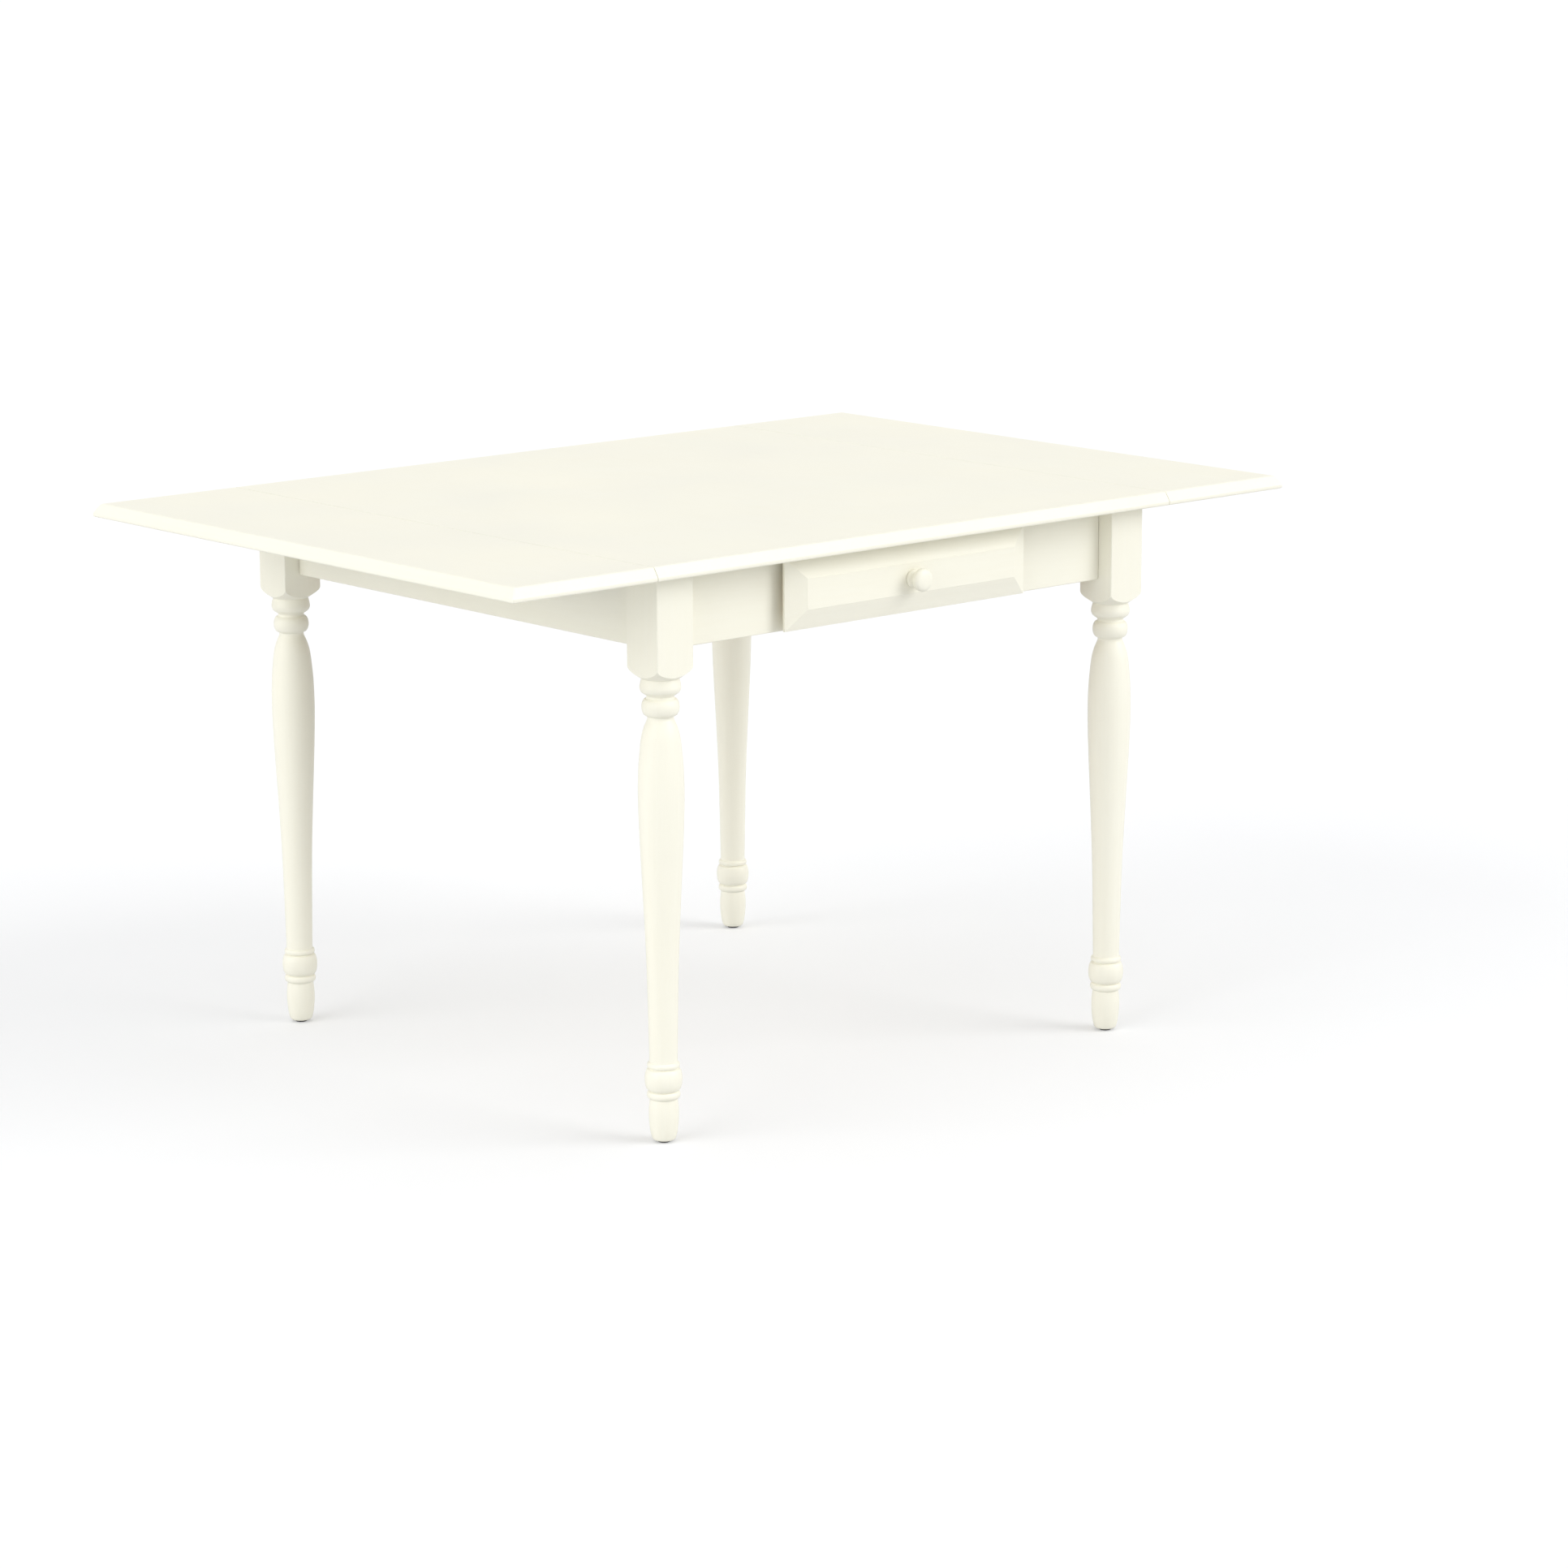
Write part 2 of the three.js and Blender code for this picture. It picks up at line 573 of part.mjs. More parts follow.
// Local axes of a leaf bracket: u runs along -X from the hinge line and v along Z.
function bandAlong(path, radius, from, to, segments = 6) {
  const side = (sign) =>
    path.map((point, i) => {
      const before = path[Math.max(i - 1, 0)];
      const after = path[Math.min(i + 1, path.length - 1)];
      const along = new THREE.Vector2().subVectors(after, before).normalize();
      return new THREE.Vector2(point.x - sign * along.y * radius, point.y + sign * along.x * radius);
    });
  const cap = (centre, start) =>
    Array.from({ length: segments - 1 }, (_, i) => {
      const angle = start - (Math.PI * (i + 1)) / segments;
      return new THREE.Vector2(centre.x + radius * Math.cos(angle), centre.y + radius * Math.sin(angle));
    });
  const left = side(1);
  const right = side(-1).reverse();
  const last = path[path.length - 1];
  const startOf = (edge, centre) => Math.atan2(edge.y - centre.y, edge.x - centre.x);
  const outline = [
    ...left,
    ...cap(last, startOf(left[left.length - 1], last)),
    ...right,
    ...cap(path[0], startOf(right[right.length - 1], path[0])),
  ];
  return prismAlongY(new THREE.Shape(outline.reverse()), from, to);
}

// The way the strut's guide pin runs in the leaf's own frame as the leaf folds down
function guidePath(steps = 12) {
  return Array.from({ length: steps + 1 }, (_, i) => {
    const fold = (Math.PI / 2) * (i / steps);
    const strut = STRUT_UP_ANGLE - STRUT_TURN * (i / steps);
    const u = PIVOT.u + PIVOT_TO_GUIDE * Math.cos(strut);
    const v = PIVOT.v + PIVOT_TO_GUIDE * Math.sin(strut);
    const along = u * Math.cos(fold) - v * Math.sin(fold);
    const below = u * Math.sin(fold) + v * Math.cos(fold);
    return new THREE.Vector2(-along, below);
  });
}

function bracketSolids() {
  const pivotX = -PIVOT.u;
  const ear = [STEEL / 2 + STEEL_GAP, STEEL * 1.5 + STEEL_GAP];
  const web = [-ear[1], -ear[0]];
  const plateX = SEAM_X - APRON_END - CLEARANCE;
  const plate = box(
    [plateX - STEEL, -BRACKET_PLATE_WIDTH / 2, BRACKET_PLATE_BOTTOM - HINGE_Z],
    [plateX, BRACKET_PLATE_WIDTH / 2, BRACKET_PLATE_TOP - HINGE_Z],
  );
  const pivot = new THREE.Vector2(pivotX, PIVOT.v);
  const root = new THREE.Vector2(plateX - STEEL / 2, PIVOT.v);
  const earPlate = bandAlong([root, pivot], STRUT_RADIUS + 2, ...ear);
  const earClipped = earPlate.subtract(box([plateX - 1, -9, -99], [plateX + 20, 9, 99]));
  const pivotRivet = cylinderAlongY(pivotX, PIVOT.v, RIVET_RADIUS, -STEEL / 2 - STEEL_GAP - 1, ear[0] + 1);
  const pivotHead = cylinderAlongY(
    pivotX, PIVOT.v, RIVET_RADIUS * 2, -STEEL / 2 - STEEL_GAP - 1.5, -STEEL / 2 - STEEL_GAP,
  );
  const guide = new THREE.Vector2(-GUIDE_UP.u, GUIDE_UP.v);
  const strutBar = bandAlong([pivot, guide], STRUT_RADIUS, -STEEL / 2, STEEL / 2);
  const strutHole = cylinderAlongY(pivotX, PIVOT.v, RIVET_RADIUS + CLEARANCE, -STEEL, STEEL);
  const guidePin = cylinderAlongY(guide.x, guide.y, RIVET_RADIUS, web[0] - 1.5, 0);
  const path = guidePath();
  const slot = bandAlong(path, RIVET_RADIUS + GUIDE_SLOT_CLEARANCE, web[0] - 1, web[1] + 1);
  const flangeTop = HINGE_DROP - CLEARANCE;
  const from = path[path.length - 1].x;
  const to = path[0].x;
  const webPlate = bandAlong(path, RIVET_RADIUS + SLOT_RIM, ...web).add(
    box([from, web[0], GUIDE_UP.v], [to, web[1], flangeTop]),
  );
  const rim = RIVET_RADIUS + SLOT_RIM;
  const aboveFlange = box([from - 30, -20, flangeTop], [to + 30, 20, 30]);
  const flange = box(
    [from - rim, web[0], flangeTop - 2],
    [to + rim, web[0] + RAIL_FLANGE_WIDTH, flangeTop],
  );
  return {
    plate: plate.add(earClipped).add(pivotRivet).add(pivotHead),
    strut: strutBar.subtract(strutHole).add(guidePin),
    rail: webPlate.subtract(aboveFlange).add(flange).subtract(slot),
  };
}

// One end of the table outside the apron, built for the -X end and turned half round for the other
function addLeafEnd(table, name, side) {
  const end = new THREE.Group();
  end.rotation.z = side < 0 ? 0 : Math.PI;
  end.add(meshOf(`${name}_leaf`, leafPanel(), paintedWood));
  const hinge = hingeSolids();
  const bracket = bracketSolids();
  for (const [place, along] of [["front", side], ["back", -side]]) {
    const hingeGroup = new THREE.Group();
    hingeGroup.position.set(-SEAM_X, along * HINGE_SIDE_Y, HINGE_Z);
    hingeGroup.add(
      meshOf(`${name}_${place}_hinge_fixed_plate`, hinge.fixed, steel),
      meshOf(`${name}_${place}_hinge_leaf_plate`, hinge.moving, steel),
    );
    const bracketGroup = new THREE.Group();
    bracketGroup.position.set(-SEAM_X, along * BRACKET_SIDE_Y, HINGE_Z);
    bracketGroup.add(
      meshOf(`${name}_${place}_bracket_plate`, bracket.plate, steel),
      meshOf(`${name}_${place}_bracket_strut`, bracket.strut, steel),
      meshOf(`${name}_${place}_bracket_rail`, bracket.rail, steel),
    );
    end.add(hingeGroup, bracketGroup);
  }
  table.add(end);
}

const table = new THREE.Group();
table.add(meshOf("top_center_panel", topPanel(), paintedWood));
addLeafEnd(table, "left", -1);
addLeafEnd(table, "right", 1);
addCorners(table);
addAprons(table);
addDrawerSupports(table);
addDrawer(table);

export default table;
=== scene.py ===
"""Looks of a painted drop leaf table with turned legs and one drawer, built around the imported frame.

Lengths are in metres. X runs along the table, -Y is the drawer side, +Z is up, and the floor is z = 0.
Every mesh is made where the table stands, so object coordinates are table coordinates in each material.
"""

import json
import logging
import math
from collections.abc import Iterable, Iterator, Sequence
from dataclasses import dataclass, field
from enum import Enum

import bmesh
import bpy
from mathutils import Matrix, Vector

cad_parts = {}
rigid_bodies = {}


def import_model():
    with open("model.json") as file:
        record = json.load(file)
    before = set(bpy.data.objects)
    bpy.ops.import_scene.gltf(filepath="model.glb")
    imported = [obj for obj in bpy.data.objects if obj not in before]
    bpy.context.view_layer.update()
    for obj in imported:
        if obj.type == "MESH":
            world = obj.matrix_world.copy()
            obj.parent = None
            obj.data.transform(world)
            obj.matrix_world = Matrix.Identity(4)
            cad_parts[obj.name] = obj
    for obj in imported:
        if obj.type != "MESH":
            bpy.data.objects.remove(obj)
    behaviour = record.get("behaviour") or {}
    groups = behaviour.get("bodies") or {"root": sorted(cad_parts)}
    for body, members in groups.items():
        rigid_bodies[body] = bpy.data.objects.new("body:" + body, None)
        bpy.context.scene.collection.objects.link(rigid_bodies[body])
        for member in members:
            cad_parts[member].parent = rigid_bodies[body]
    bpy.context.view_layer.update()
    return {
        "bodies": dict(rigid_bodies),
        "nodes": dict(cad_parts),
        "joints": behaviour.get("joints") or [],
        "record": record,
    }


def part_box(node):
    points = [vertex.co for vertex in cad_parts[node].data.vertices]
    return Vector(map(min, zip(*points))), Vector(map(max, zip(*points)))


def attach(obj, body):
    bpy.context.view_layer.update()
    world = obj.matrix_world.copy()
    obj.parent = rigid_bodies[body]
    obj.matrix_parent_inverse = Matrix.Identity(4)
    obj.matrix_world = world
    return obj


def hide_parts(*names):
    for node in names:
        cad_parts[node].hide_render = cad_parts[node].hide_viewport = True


LOG = logging.getLogger("drop_leaf_table")
MM = 0.001
ROUNDING_STEPS = 5
FACE_WEIGHT = 100

Span = tuple[float, float]
Profile = list[Span]
Ends = tuple[bool, bool]
Colour = tuple[int, int, int]
Tone = tuple[float, float, float, float]
Socket = bpy.types.NodeSocket
Piece = bpy.types.Object
Shape = bmesh.types.BMesh
Labels = Sequence[str]
Drive = tuple[str, Vector, Vector, str]
UNIT: Span = (0.0, 1.0)
DOWN = Vector((0, 0, -1))


class Axis(Enum):
    """The direction that a board's grain runs in."""

    ALONG_X = 0
    ALONG_Y = 1
    ALONG_Z = 2


class Body(Enum):
    """The moving bodies of the table that pieces ride on."""

    FRAME = "table_frame"
    LEFT_LEAF = "left_leaf"
    RIGHT_LEAF = "right_leaf"
    DRAWER = "drawer"


class Slot(Enum):
    """The record's material slots."""

    PAINT = "paint"
    WOOD = "wood"
    STEEL = "steel"
    GLIDE = "glide"


Boards = tuple[tuple[str, Axis], ...]

# Node tools


class NodeSheet:
    """A node tree with short calls to add and wire nodes."""

    def __init__(self, tree: bpy.types.NodeTree) -> None:
        """Starts an empty sheet.

        Args:
            tree: The node tree that the nodes go into.
        """
        self.tree = tree
        tree.nodes.clear()

    def add(self, kind: str, settings: dict | None = None, **inputs: object) -> bpy.types.Node:
        """Adds a node, sets its properties, and sets or wires its inputs.

        Args:
            kind: The node's type name, such as ShaderNodeTexNoise.
            settings: Properties of the node itself.
            inputs: Values or output sockets by input name, with underscores for spaces.

        Returns:
            The new node.
        """
        node = self.tree.nodes.new(kind)
        for name, value in (settings or {}).items():
            setattr(node, name, value)
        self.wire(node, **inputs)
        return node

    def wire(self, node: bpy.types.Node, **inputs: object) -> None:
        """Sets or wires several inputs of a node.

        Args:
            node: The node that owns the inputs.
            inputs: Values or output sockets by input name, with underscores for spaces.
        """
        for name, value in inputs.items():
            self.feed(node, name.replace("_", " "), value)

    def feed(self, node: bpy.types.Node, name: str | int, value: object) -> None:
        """Wires a socket into an input, or sets the input to a plain value.

        Args:
            node: The node that owns the input.
            name: The input's name or number.
            value: An output socket or a plain value.
        """
        socket = node.inputs[name]
        if isinstance(value, Socket):
            self.tree.links.new(value, socket)
        else:
            socket.default_value = value

    def group(self, tree: bpy.types.NodeTree, **inputs: object) -> Sequence[Socket]:
        """Adds a shared effect.

        Args:
            tree: The effect's node group.
            inputs: Values or output sockets by input name, with underscores for spaces.

        Returns:
            The effect's outputs, by name or number.
        """
        return self.add("ShaderNodeGroup", {"node_tree": tree}, **inputs).outputs

    def math(self, operation: str, first: object, second: object = 0.0) -> Socket:
        """Adds a Math node.

        Args:
            operation: The operation's name, such as MULTIPLY.
            first: The first operand.
            second: The second operand.

        Returns:
            The result socket.
        """
        node = self.add("ShaderNodeMath", {"operation": operation})
        self.feed(node, 0, first)
        self.feed(node, 1, second)
        return node.outputs[0]

    def weighed(self, *parts: tuple[object, object]) -> Socket:
        """Adds up values, each times its weight.

        Args:
            parts: Value and weight of each.

        Returns:
            The sum's socket.
        """
        total, *others = [self.math("MULTIPLY", value, weight) for value, weight in parts]
        for other in others:
            total = self.math("ADD", total, other)
        return total

    def remap(self, value: object, source: Span, target: Span = UNIT) -> Socket:
        """Maps a value from one range to another, held at the ends.

        Args:
            value: The value to map.
            source: Where its range starts and ends.
            target: Where the new range starts and ends.

        Returns:
            The mapped value's socket.
        """
        ends = dict(zip(("From_Min", "From_Max", "To_Min", "To_Max"), (*source, *target)))
        return self.add("ShaderNodeMapRange", Value=value, **ends).outputs["Result"]

    def blend(self, factor: object, first: object, second: object) -> Socket:
        """Mixes two colours.

        Args:
            factor: How much of the second colour shows.
            first: The colour at factor 0.
            second: The colour at factor 1.

        Returns:
            The mixed colour's socket.
        """
        node = self.add("ShaderNodeMix", {"data_type": "RGBA"})
        for number, value in ((0, factor), (6, first), (7, second)):
            self.feed(node, number, value)
        return node.outputs[2]

    def stretched(self, vector: object, scale: Sequence[float]) -> Socket:
        """Scales a coordinate by a different amount along each axis.

        Args:
            vector: The coordinate.
            scale: The factor for X, Y and Z.

        Returns:
            The scaled coordinate's socket.
        """
        node = self.add("ShaderNodeVectorMath", {"operation": "MULTIPLY"})
        self.feed(node, 0, vector)
        self.feed(node, 1, tuple(scale))
        return node.outputs[0]

    def noise(self, vector: object, scale: object, detail: float = 2.0, rough: float = 0.5) -> Socket:
        """Adds a noise texture.

        Args:
            vector: The coordinate.
            scale: The noise's scale.
            detail: Octaves of detail.
            rough: How strong the finer octaves are.

        Returns:
            The noise value's socket, about 0 to 1.
        """
        node = self.add("ShaderNodeTexNoise", Vector=vector, Scale=scale, Detail=detail, Roughness=rough)
        return node.outputs[0]

    def bump(self, height: Socket, strength: float, depth: float) -> Socket:
        """Turns a height into a surface direction.

        Args:
            height: The height, about 0 to 1.
            strength: How much of the relief shows.
            depth: The relief's depth in metres.

        Returns:
            The direction's socket.
        """
        return self.add("ShaderNodeBump", Strength=strength, Distance=depth, Height=height).outputs[0]


class Effects:
    """The shader node groups that several finishes share, each built once."""

    def __init__(self) -> None:
        """Builds every group."""
        self.brushwork = self._brushwork()
        self.figure = self._figure()
        self.handling = self._handling()

    @staticmethod
    def _open_group(name: str, vectors: Labels, values: Labels, outputs: Labels) -> tuple:
        """Creates a group with its sockets.

        Args:
            name: The group's name.
            vectors: Names of the coordinate inputs.
            values: Names of the value inputs.
            outputs: Names of the value outputs.

        Returns:
            The tree, its sheet, the sockets that it is given and its output node.
        """
        tree = bpy.data.node_groups.new(name, "ShaderNodeTree")
        for labels, side, kind in (
            (vectors, "INPUT", "NodeSocketVector"),
            (values, "INPUT", "NodeSocketFloat"),
            (outputs, "OUTPUT", "NodeSocketFloat"),
        ):
            for label in labels:
                tree.interface.new_socket(label, in_out=side, socket_type=kind)
        sheet = NodeSheet(tree)
        return tree, sheet, sheet.add("NodeGroupInput").outputs, sheet.add("NodeGroupOutput")

    def _brushwork(self) -> bpy.types.NodeTree:
        """Brushed and rolled paint over closed-grain wood.

        Returns:
            A group that puts out a height, a tint mask and a gloss mask.
        """
        tree, sheet, given, out = self._open_group(
            "brushwork", ("Along Grain", "Plain"), ("Stipple",), ("Height", "Tint", "Gloss")
        )
        strokes = sheet.noise(given["Along Grain"], scale=1.0, detail=3.0, rough=0.55)
        pores = sheet.noise(given["Along Grain"], scale=4.2, rough=0.6)
        stipple = sheet.noise(given["Plain"], scale=620.0)
        cloud = sheet.noise(given["Plain"], scale=5.5, detail=3.0)
        mottled = sheet.weighed((strokes, 0.45), (cloud, 0.55))
        sheet.wire(
            out,
            Height=sheet.weighed((strokes, 0.62), (pores, 0.3), (stipple, given["Stipple"])),
            Tint=sheet.remap(mottled, (0.36, 0.66)),
            Gloss=sheet.remap(cloud, (0.3, 0.7)),
        )
        return tree

    def _figure(self) -> bpy.types.NodeTree:
        """Growth rings, rays and pores of a sawn softwood board.

        Returns:
            A group that puts out a ring mask, a pore mask and a height.
        """
        tree, sheet, given, out = self._open_group(
            "wood_figure", ("Along Grain",), ("Ring Spacing",), ("Rings", "Pores", "Height")
        )
        warp = sheet.noise(given["Along Grain"], scale=0.35)
        node = sheet.add("ShaderNodeVectorMath", {"operation": "LENGTH"})
        sheet.feed(node, 0, given["Along Grain"])
        distance = sheet.math("ADD", node.outputs[1], sheet.math("MULTIPLY", warp, 3.2))
        turns = sheet.math("MULTIPLY", distance, given["Ring Spacing"])
        rings = sheet.math("POWER", sheet.math("FRACT", turns), 2.4)
        pores = sheet.noise(given["Along Grain"], scale=9.0, rough=0.7)
        height = sheet.math("SUBTRACT", rings, pores)
        sheet.wire(out, Rings=rings, Pores=sheet.remap(pores, (0.56, 0.7)), Height=height)
        return tree

    def _handling(self) -> bpy.types.NodeTree:
        """Soft smudges and a little dust that dull a finish here and there.

        Returns:
            A group that puts out a smudge mask and a dust mask.
        """
        tree, sheet, given, out = self._open_group("handling", ("Plain",), ("Scale",), ("Smudge", "Dust"))
        wide = sheet.noise(given["Plain"], given["Scale"], detail=4.0, rough=0.6)
        speck = sheet.noise(given["Plain"], scale=900.0, detail=1.0)
        sheet.wire(out, Smudge=sheet.remap(wide, (0.42, 0.68)), Dust=sheet.remap(speck, (0.62, 0.75)))
        return tree


# Finishes


def linear(colour: Colour) -> Tone:
    """Turns an 8-bit display colour into a linear one.

    Args:
        colour: Red, green and blue, 0 to 255.

    Returns:
        The linear colour with alpha 1.
    """
    parts = []
    for value in colour:
        share = value / 255
        parts.append(share / 12.92 if share <= 0.04045 else ((share + 0.055) / 1.055) ** 2.4)
    return parts[0], parts[1], parts[2], 1.0


def grain_scale(along: Axis, lengthwise: float, across: float) -> tuple[float, float, float]:
    """A coordinate scale that draws a texture out along the grain.

    Args:
        along: The direction of the grain.
        lengthwise: Texture repeats a metre along the grain.
        across: Texture repeats a metre across it.

    Returns:
        The scale for X, Y and Z.
    """
    scale = [across, across, across]
    scale[along.value] = lengthwise
    return scale[0], scale[1], scale[2]


def start_material(name: str) -> tuple[bpy.types.Material, NodeSheet, bpy.types.Node, Socket]:
    """Creates a material with a Principled shader wired to its output.

    Args:
        name: The material's name.

    Returns:
        The material, its node sheet, the shader node and the object coordinate.
    """
    material = bpy.data.materials.new(name)
    material.use_nodes = True
    sheet = NodeSheet(material.node_tree)
    shader = sheet.add("ShaderNodeBsdfPrincipled")
    sheet.add("ShaderNodeOutputMaterial", Surface=shader.outputs[0])
    return material, sheet, shader, sheet.add("ShaderNodeTexCoord").outputs["Object"]


@dataclass(frozen=True)
class SatinPaint:
    """Satin off-white paint on closed-grain wood, with faint brush lines along the board."""

    name: str
    along: Axis
    body: Colour = (244, 242, 228)
    warm: Colour = (240, 236, 218)
    dust: Colour = (226, 219, 200)
    warmth: float = 0.3
    dusting: float = 0.12
    roughness: float = 0.38
    unevenness: Span = (-0.05, 0.06)
    smudging: float = 0.05
    specular: float = 0.3
    brush_lines: Span = (9.0, 210.0)
    smudge_scale: float = 7.0
    stipple: float = 0.22
    relief: float = 0.45
    depth: float = 0.22 * MM

    def material(self, effects: Effects) -> bpy.types.Material:
        """Builds the material.

        Args:
            effects: The shared node groups.

        Returns:
            The finished material.
        """
        material, sheet, shader, place = start_material(self.name)
        grain = sheet.stretched(place, grain_scale(self.along, *self.brush_lines))
        brush = sheet.group(effects.brushwork, Along_Grain=grain, Plain=place, Stipple=self.stipple)
        marks = sheet.group(effects.handling, Plain=place, Scale=self.smudge_scale)
        tint = sheet.math("MULTIPLY", brush["Tint"], self.warmth)
        colour = sheet.blend(tint, linear(self.body), linear(self.warm))
        dusty = sheet.math("MULTIPLY", marks["Dust"], self.dusting)
        glossy, dull = self.unevenness
        gloss = sheet.remap(brush["Gloss"], UNIT, (self.roughness + glossy, self.roughness + dull))
        smudges = sheet.math("MULTIPLY", marks["Smudge"], self.smudging)
        sheet.wire(
            shader,
            Base_Color=sheet.blend(dusty, colour, linear(self.dust)),
            Roughness=sheet.math("ADD", gloss, smudges),
            Specular_IOR_Level=self.specular,
            Normal=sheet.bump(brush["Height"], self.relief, self.depth),
        )
        return material


@dataclass(frozen=True)
class BareWood:
    """Sanded, unfinished softwood inside the table."""

    name: str
    along: Axis
    early: Colour = (214, 184, 140)
    late: Colour = (184, 142, 92)
    pore: Colour = (140, 100, 60)
    poring: float = 0.35
    roughness: Span = (0.62, 0.78)
    grain_lines: Span = (6.0, 120.0)
    ring_spacing: float = 0.9
    smudge_scale: float = 12.0
    relief: float = 0.4
    depth: float = 0.3 * MM

    def material(self, effects: Effects) -> bpy.types.Material:
        """Builds the material.

        Args:
            effects: The shared node groups.

        Returns:
            The finished material.
        """
        material, sheet, shader, place = start_material(self.name)
        grain = sheet.stretched(place, grain_scale(self.along, *self.grain_lines))
        figure = sheet.group(effects.figure, Along_Grain=grain, Ring_Spacing=self.ring_spacing)
        marks = sheet.group(effects.handling, Plain=place, Scale=self.smudge_scale)
        colour = sheet.blend(figure["Rings"], linear(self.early), linear(self.late))
        pored = sheet.math("MULTIPLY", figure["Pores"], self.poring)
        sheet.wire(
            shader,
            Base_Color=sheet.blend(pored, colour, linear(self.pore)),
            Roughness=sheet.remap(marks["Smudge"], UNIT, self.roughness),
            Normal=sheet.bump(figure["Height"], self.relief, self.depth),
        )
        return material


@dataclass(frozen=True)
class PlatedSteel:
    """Zinc-plated pressed steel with fine rolling lines and a mottled sheen."""

    name: str
    bright: Colour = (198, 200, 203)
    dull: Colour = (150, 152, 156)
    roughness: Span = (0.28, 0.44)
    rolling_lines: tuple[float, float, float] = (60.0, 2200.0, 2200.0)
    smudge_scale: float = 60.0
    relief: float = 0.25
    depth: float = 0.05 * MM

    def material(self, effects: Effects) -> bpy.types.Material:
        """Builds the material.

        Args:
            effects: The shared node groups.

        Returns:
            The finished material.
        """
        material, sheet, shader, place = start_material(self.name)
        marks = sheet.group(effects.handling, Plain=place, Scale=self.smudge_scale)
        lines = sheet.noise(sheet.stretched(place, self.rolling_lines), scale=1.0)
        sheet.wire(
            shader,
            Base_Color=sheet.blend(marks["Smudge"], linear(self.bright), linear(self.dull)),
            Metallic=1.0,
            Roughness=sheet.remap(lines, (0.3, 0.7), self.roughness),
            Normal=sheet.bump(lines, self.relief, self.depth),
        )
        return material


@dataclass(frozen=True)
class BlackPlastic:
    """Moulded black plastic with a fine grained surface, dusty from the floor."""

    name: str
    body: Colour = (34, 33, 32)
    dust: Colour = (120, 116, 108)
    dusting: float = 0.35
    roughness: Span = (0.45, 0.6)
    moulded_grain: float = 2600.0
    smudge_scale: float = 120.0
    relief: float = 0.3
    depth: float = 0.06 * MM

    def material(self, effects: Effects) -> bpy.types.Material:
        """Builds the material.

        Args:
            effects: The shared node groups.

        Returns:
            The finished material.
        """
        material, sheet, shader, place = start_material(self.name)
        marks = sheet.group(effects.handling, Plain=place, Scale=self.smudge_scale)
        dusty = sheet.math("MULTIPLY", marks["Dust"], self.dusting)
        sheet.wire(
            shader,
            Base_Color=sheet.blend(dusty, linear(self.body), linear(self.dust)),
            Roughness=sheet.remap(marks["Smudge"], UNIT, self.roughness),
            Normal=sheet.bump(sheet.noise(place, self.moulded_grain, detail=1.0), self.relief, self.depth),
        )
        return material


class Finishes:
    """Every material of the table, made once and handed out by name."""

    def __init__(self) -> None:
        """Builds the node groups and the materials."""
        effects = Effects()
        self.paint, self.wood = {}, {}
        for axis in Axis:
            label = axis.name.lower()
            self.paint[axis] = SatinPaint(f"satin_paint_{label}", axis).material(effects)
            self.wood[axis] = BareWood(f"bare_wood_{label}", axis).material(effects)
        self.turned_paint = SatinPaint("satin_paint_turned", Axis.ALONG_Z, roughness=0.34).material(effects)
        self.plywood = BareWood(
            "birch_ply", Axis.ALONG_X, early=(222, 202, 168), late=(206, 180, 140), ring_spacing=0.35
        ).material(effects)
        self.steel = PlatedSteel("zinc_plated_steel").material(effects)
        self.glide = BlackPlastic("black_plastic").material(effects)


# Mesh tools


@dataclass
class Workshop:
    """Makes meshes, places them on their bodies and counts the pieces."""

    finishes: Finishes
    made: list[str] = field(default_factory=list)

    def place(
        self,
        piece: Piece,
        material: bpy.types.Material,
        slot: Slot,
        body: str,
        stands_for: Sequence[str] = (),
    ) -> Piece:
        """Dresses a piece, lets it ride on its body and hides the solids that it stands for.

        Args:
            piece: The object.
            material: Its finish.
            slot: The record's slot that the finish belongs to. Not used.
            body: The body that it moves with.
            stands_for: Names of the frame's nodes that it replaces.

        Returns:
            The same object.
        """
        piece.data.materials.clear()
        piece.data.materials.append(material)
        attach(piece, body)
        if stands_for:
            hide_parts(*stands_for)
        self.made.append(piece.name)
        LOG.info("%s rides on %s", piece.name, body)
        return piece


def object_from(name: str, mesh: bpy.types.Mesh) -> Piece:
    """Links a mesh into the scene as an object.

    Args:
        name: The object's name.
        mesh: Its mesh.

    Returns:
        The object.
    """
    piece = bpy.data.objects.new(name, mesh)
    bpy.context.scene.collection.objects.link(piece)
    return piece


def finish_mesh(name: str, shape: Shape, sharp: float = 32.0) -> Piece:
    """Turns an edited mesh into an object with smooth faces and creases where it turns sharply.

    Args:
        name: The object's name.
        shape: The edited mesh, which is used up.
        sharp: The angle in degrees from which an edge stays a crease.

    Returns:
        The object.
    """
    bmesh.ops.recalc_face_normals(shape, faces=shape.faces)
    mesh = bpy.data.meshes.new(name)
    shape.to_mesh(mesh)
    shape.free()
    mesh.polygons.foreach_set("use_smooth", [True] * len(mesh.polygons))
    mesh.set_sharp_from_angle(angle=math.radians(sharp))
    return object_from(name, mesh)


def weighted(piece: Piece) -> Piece:
    """Keeps flat faces flat beside their rounded edges.

    Args:
        piece: An object with bevelled edges.

    Returns:
        The same object.
    """
    modifier = piece.modifiers.new("flat_faces", "WEIGHTED_NORMAL")
    modifier.keep_sharp = True
    modifier.weight = FACE_WEIGHT
    return piece


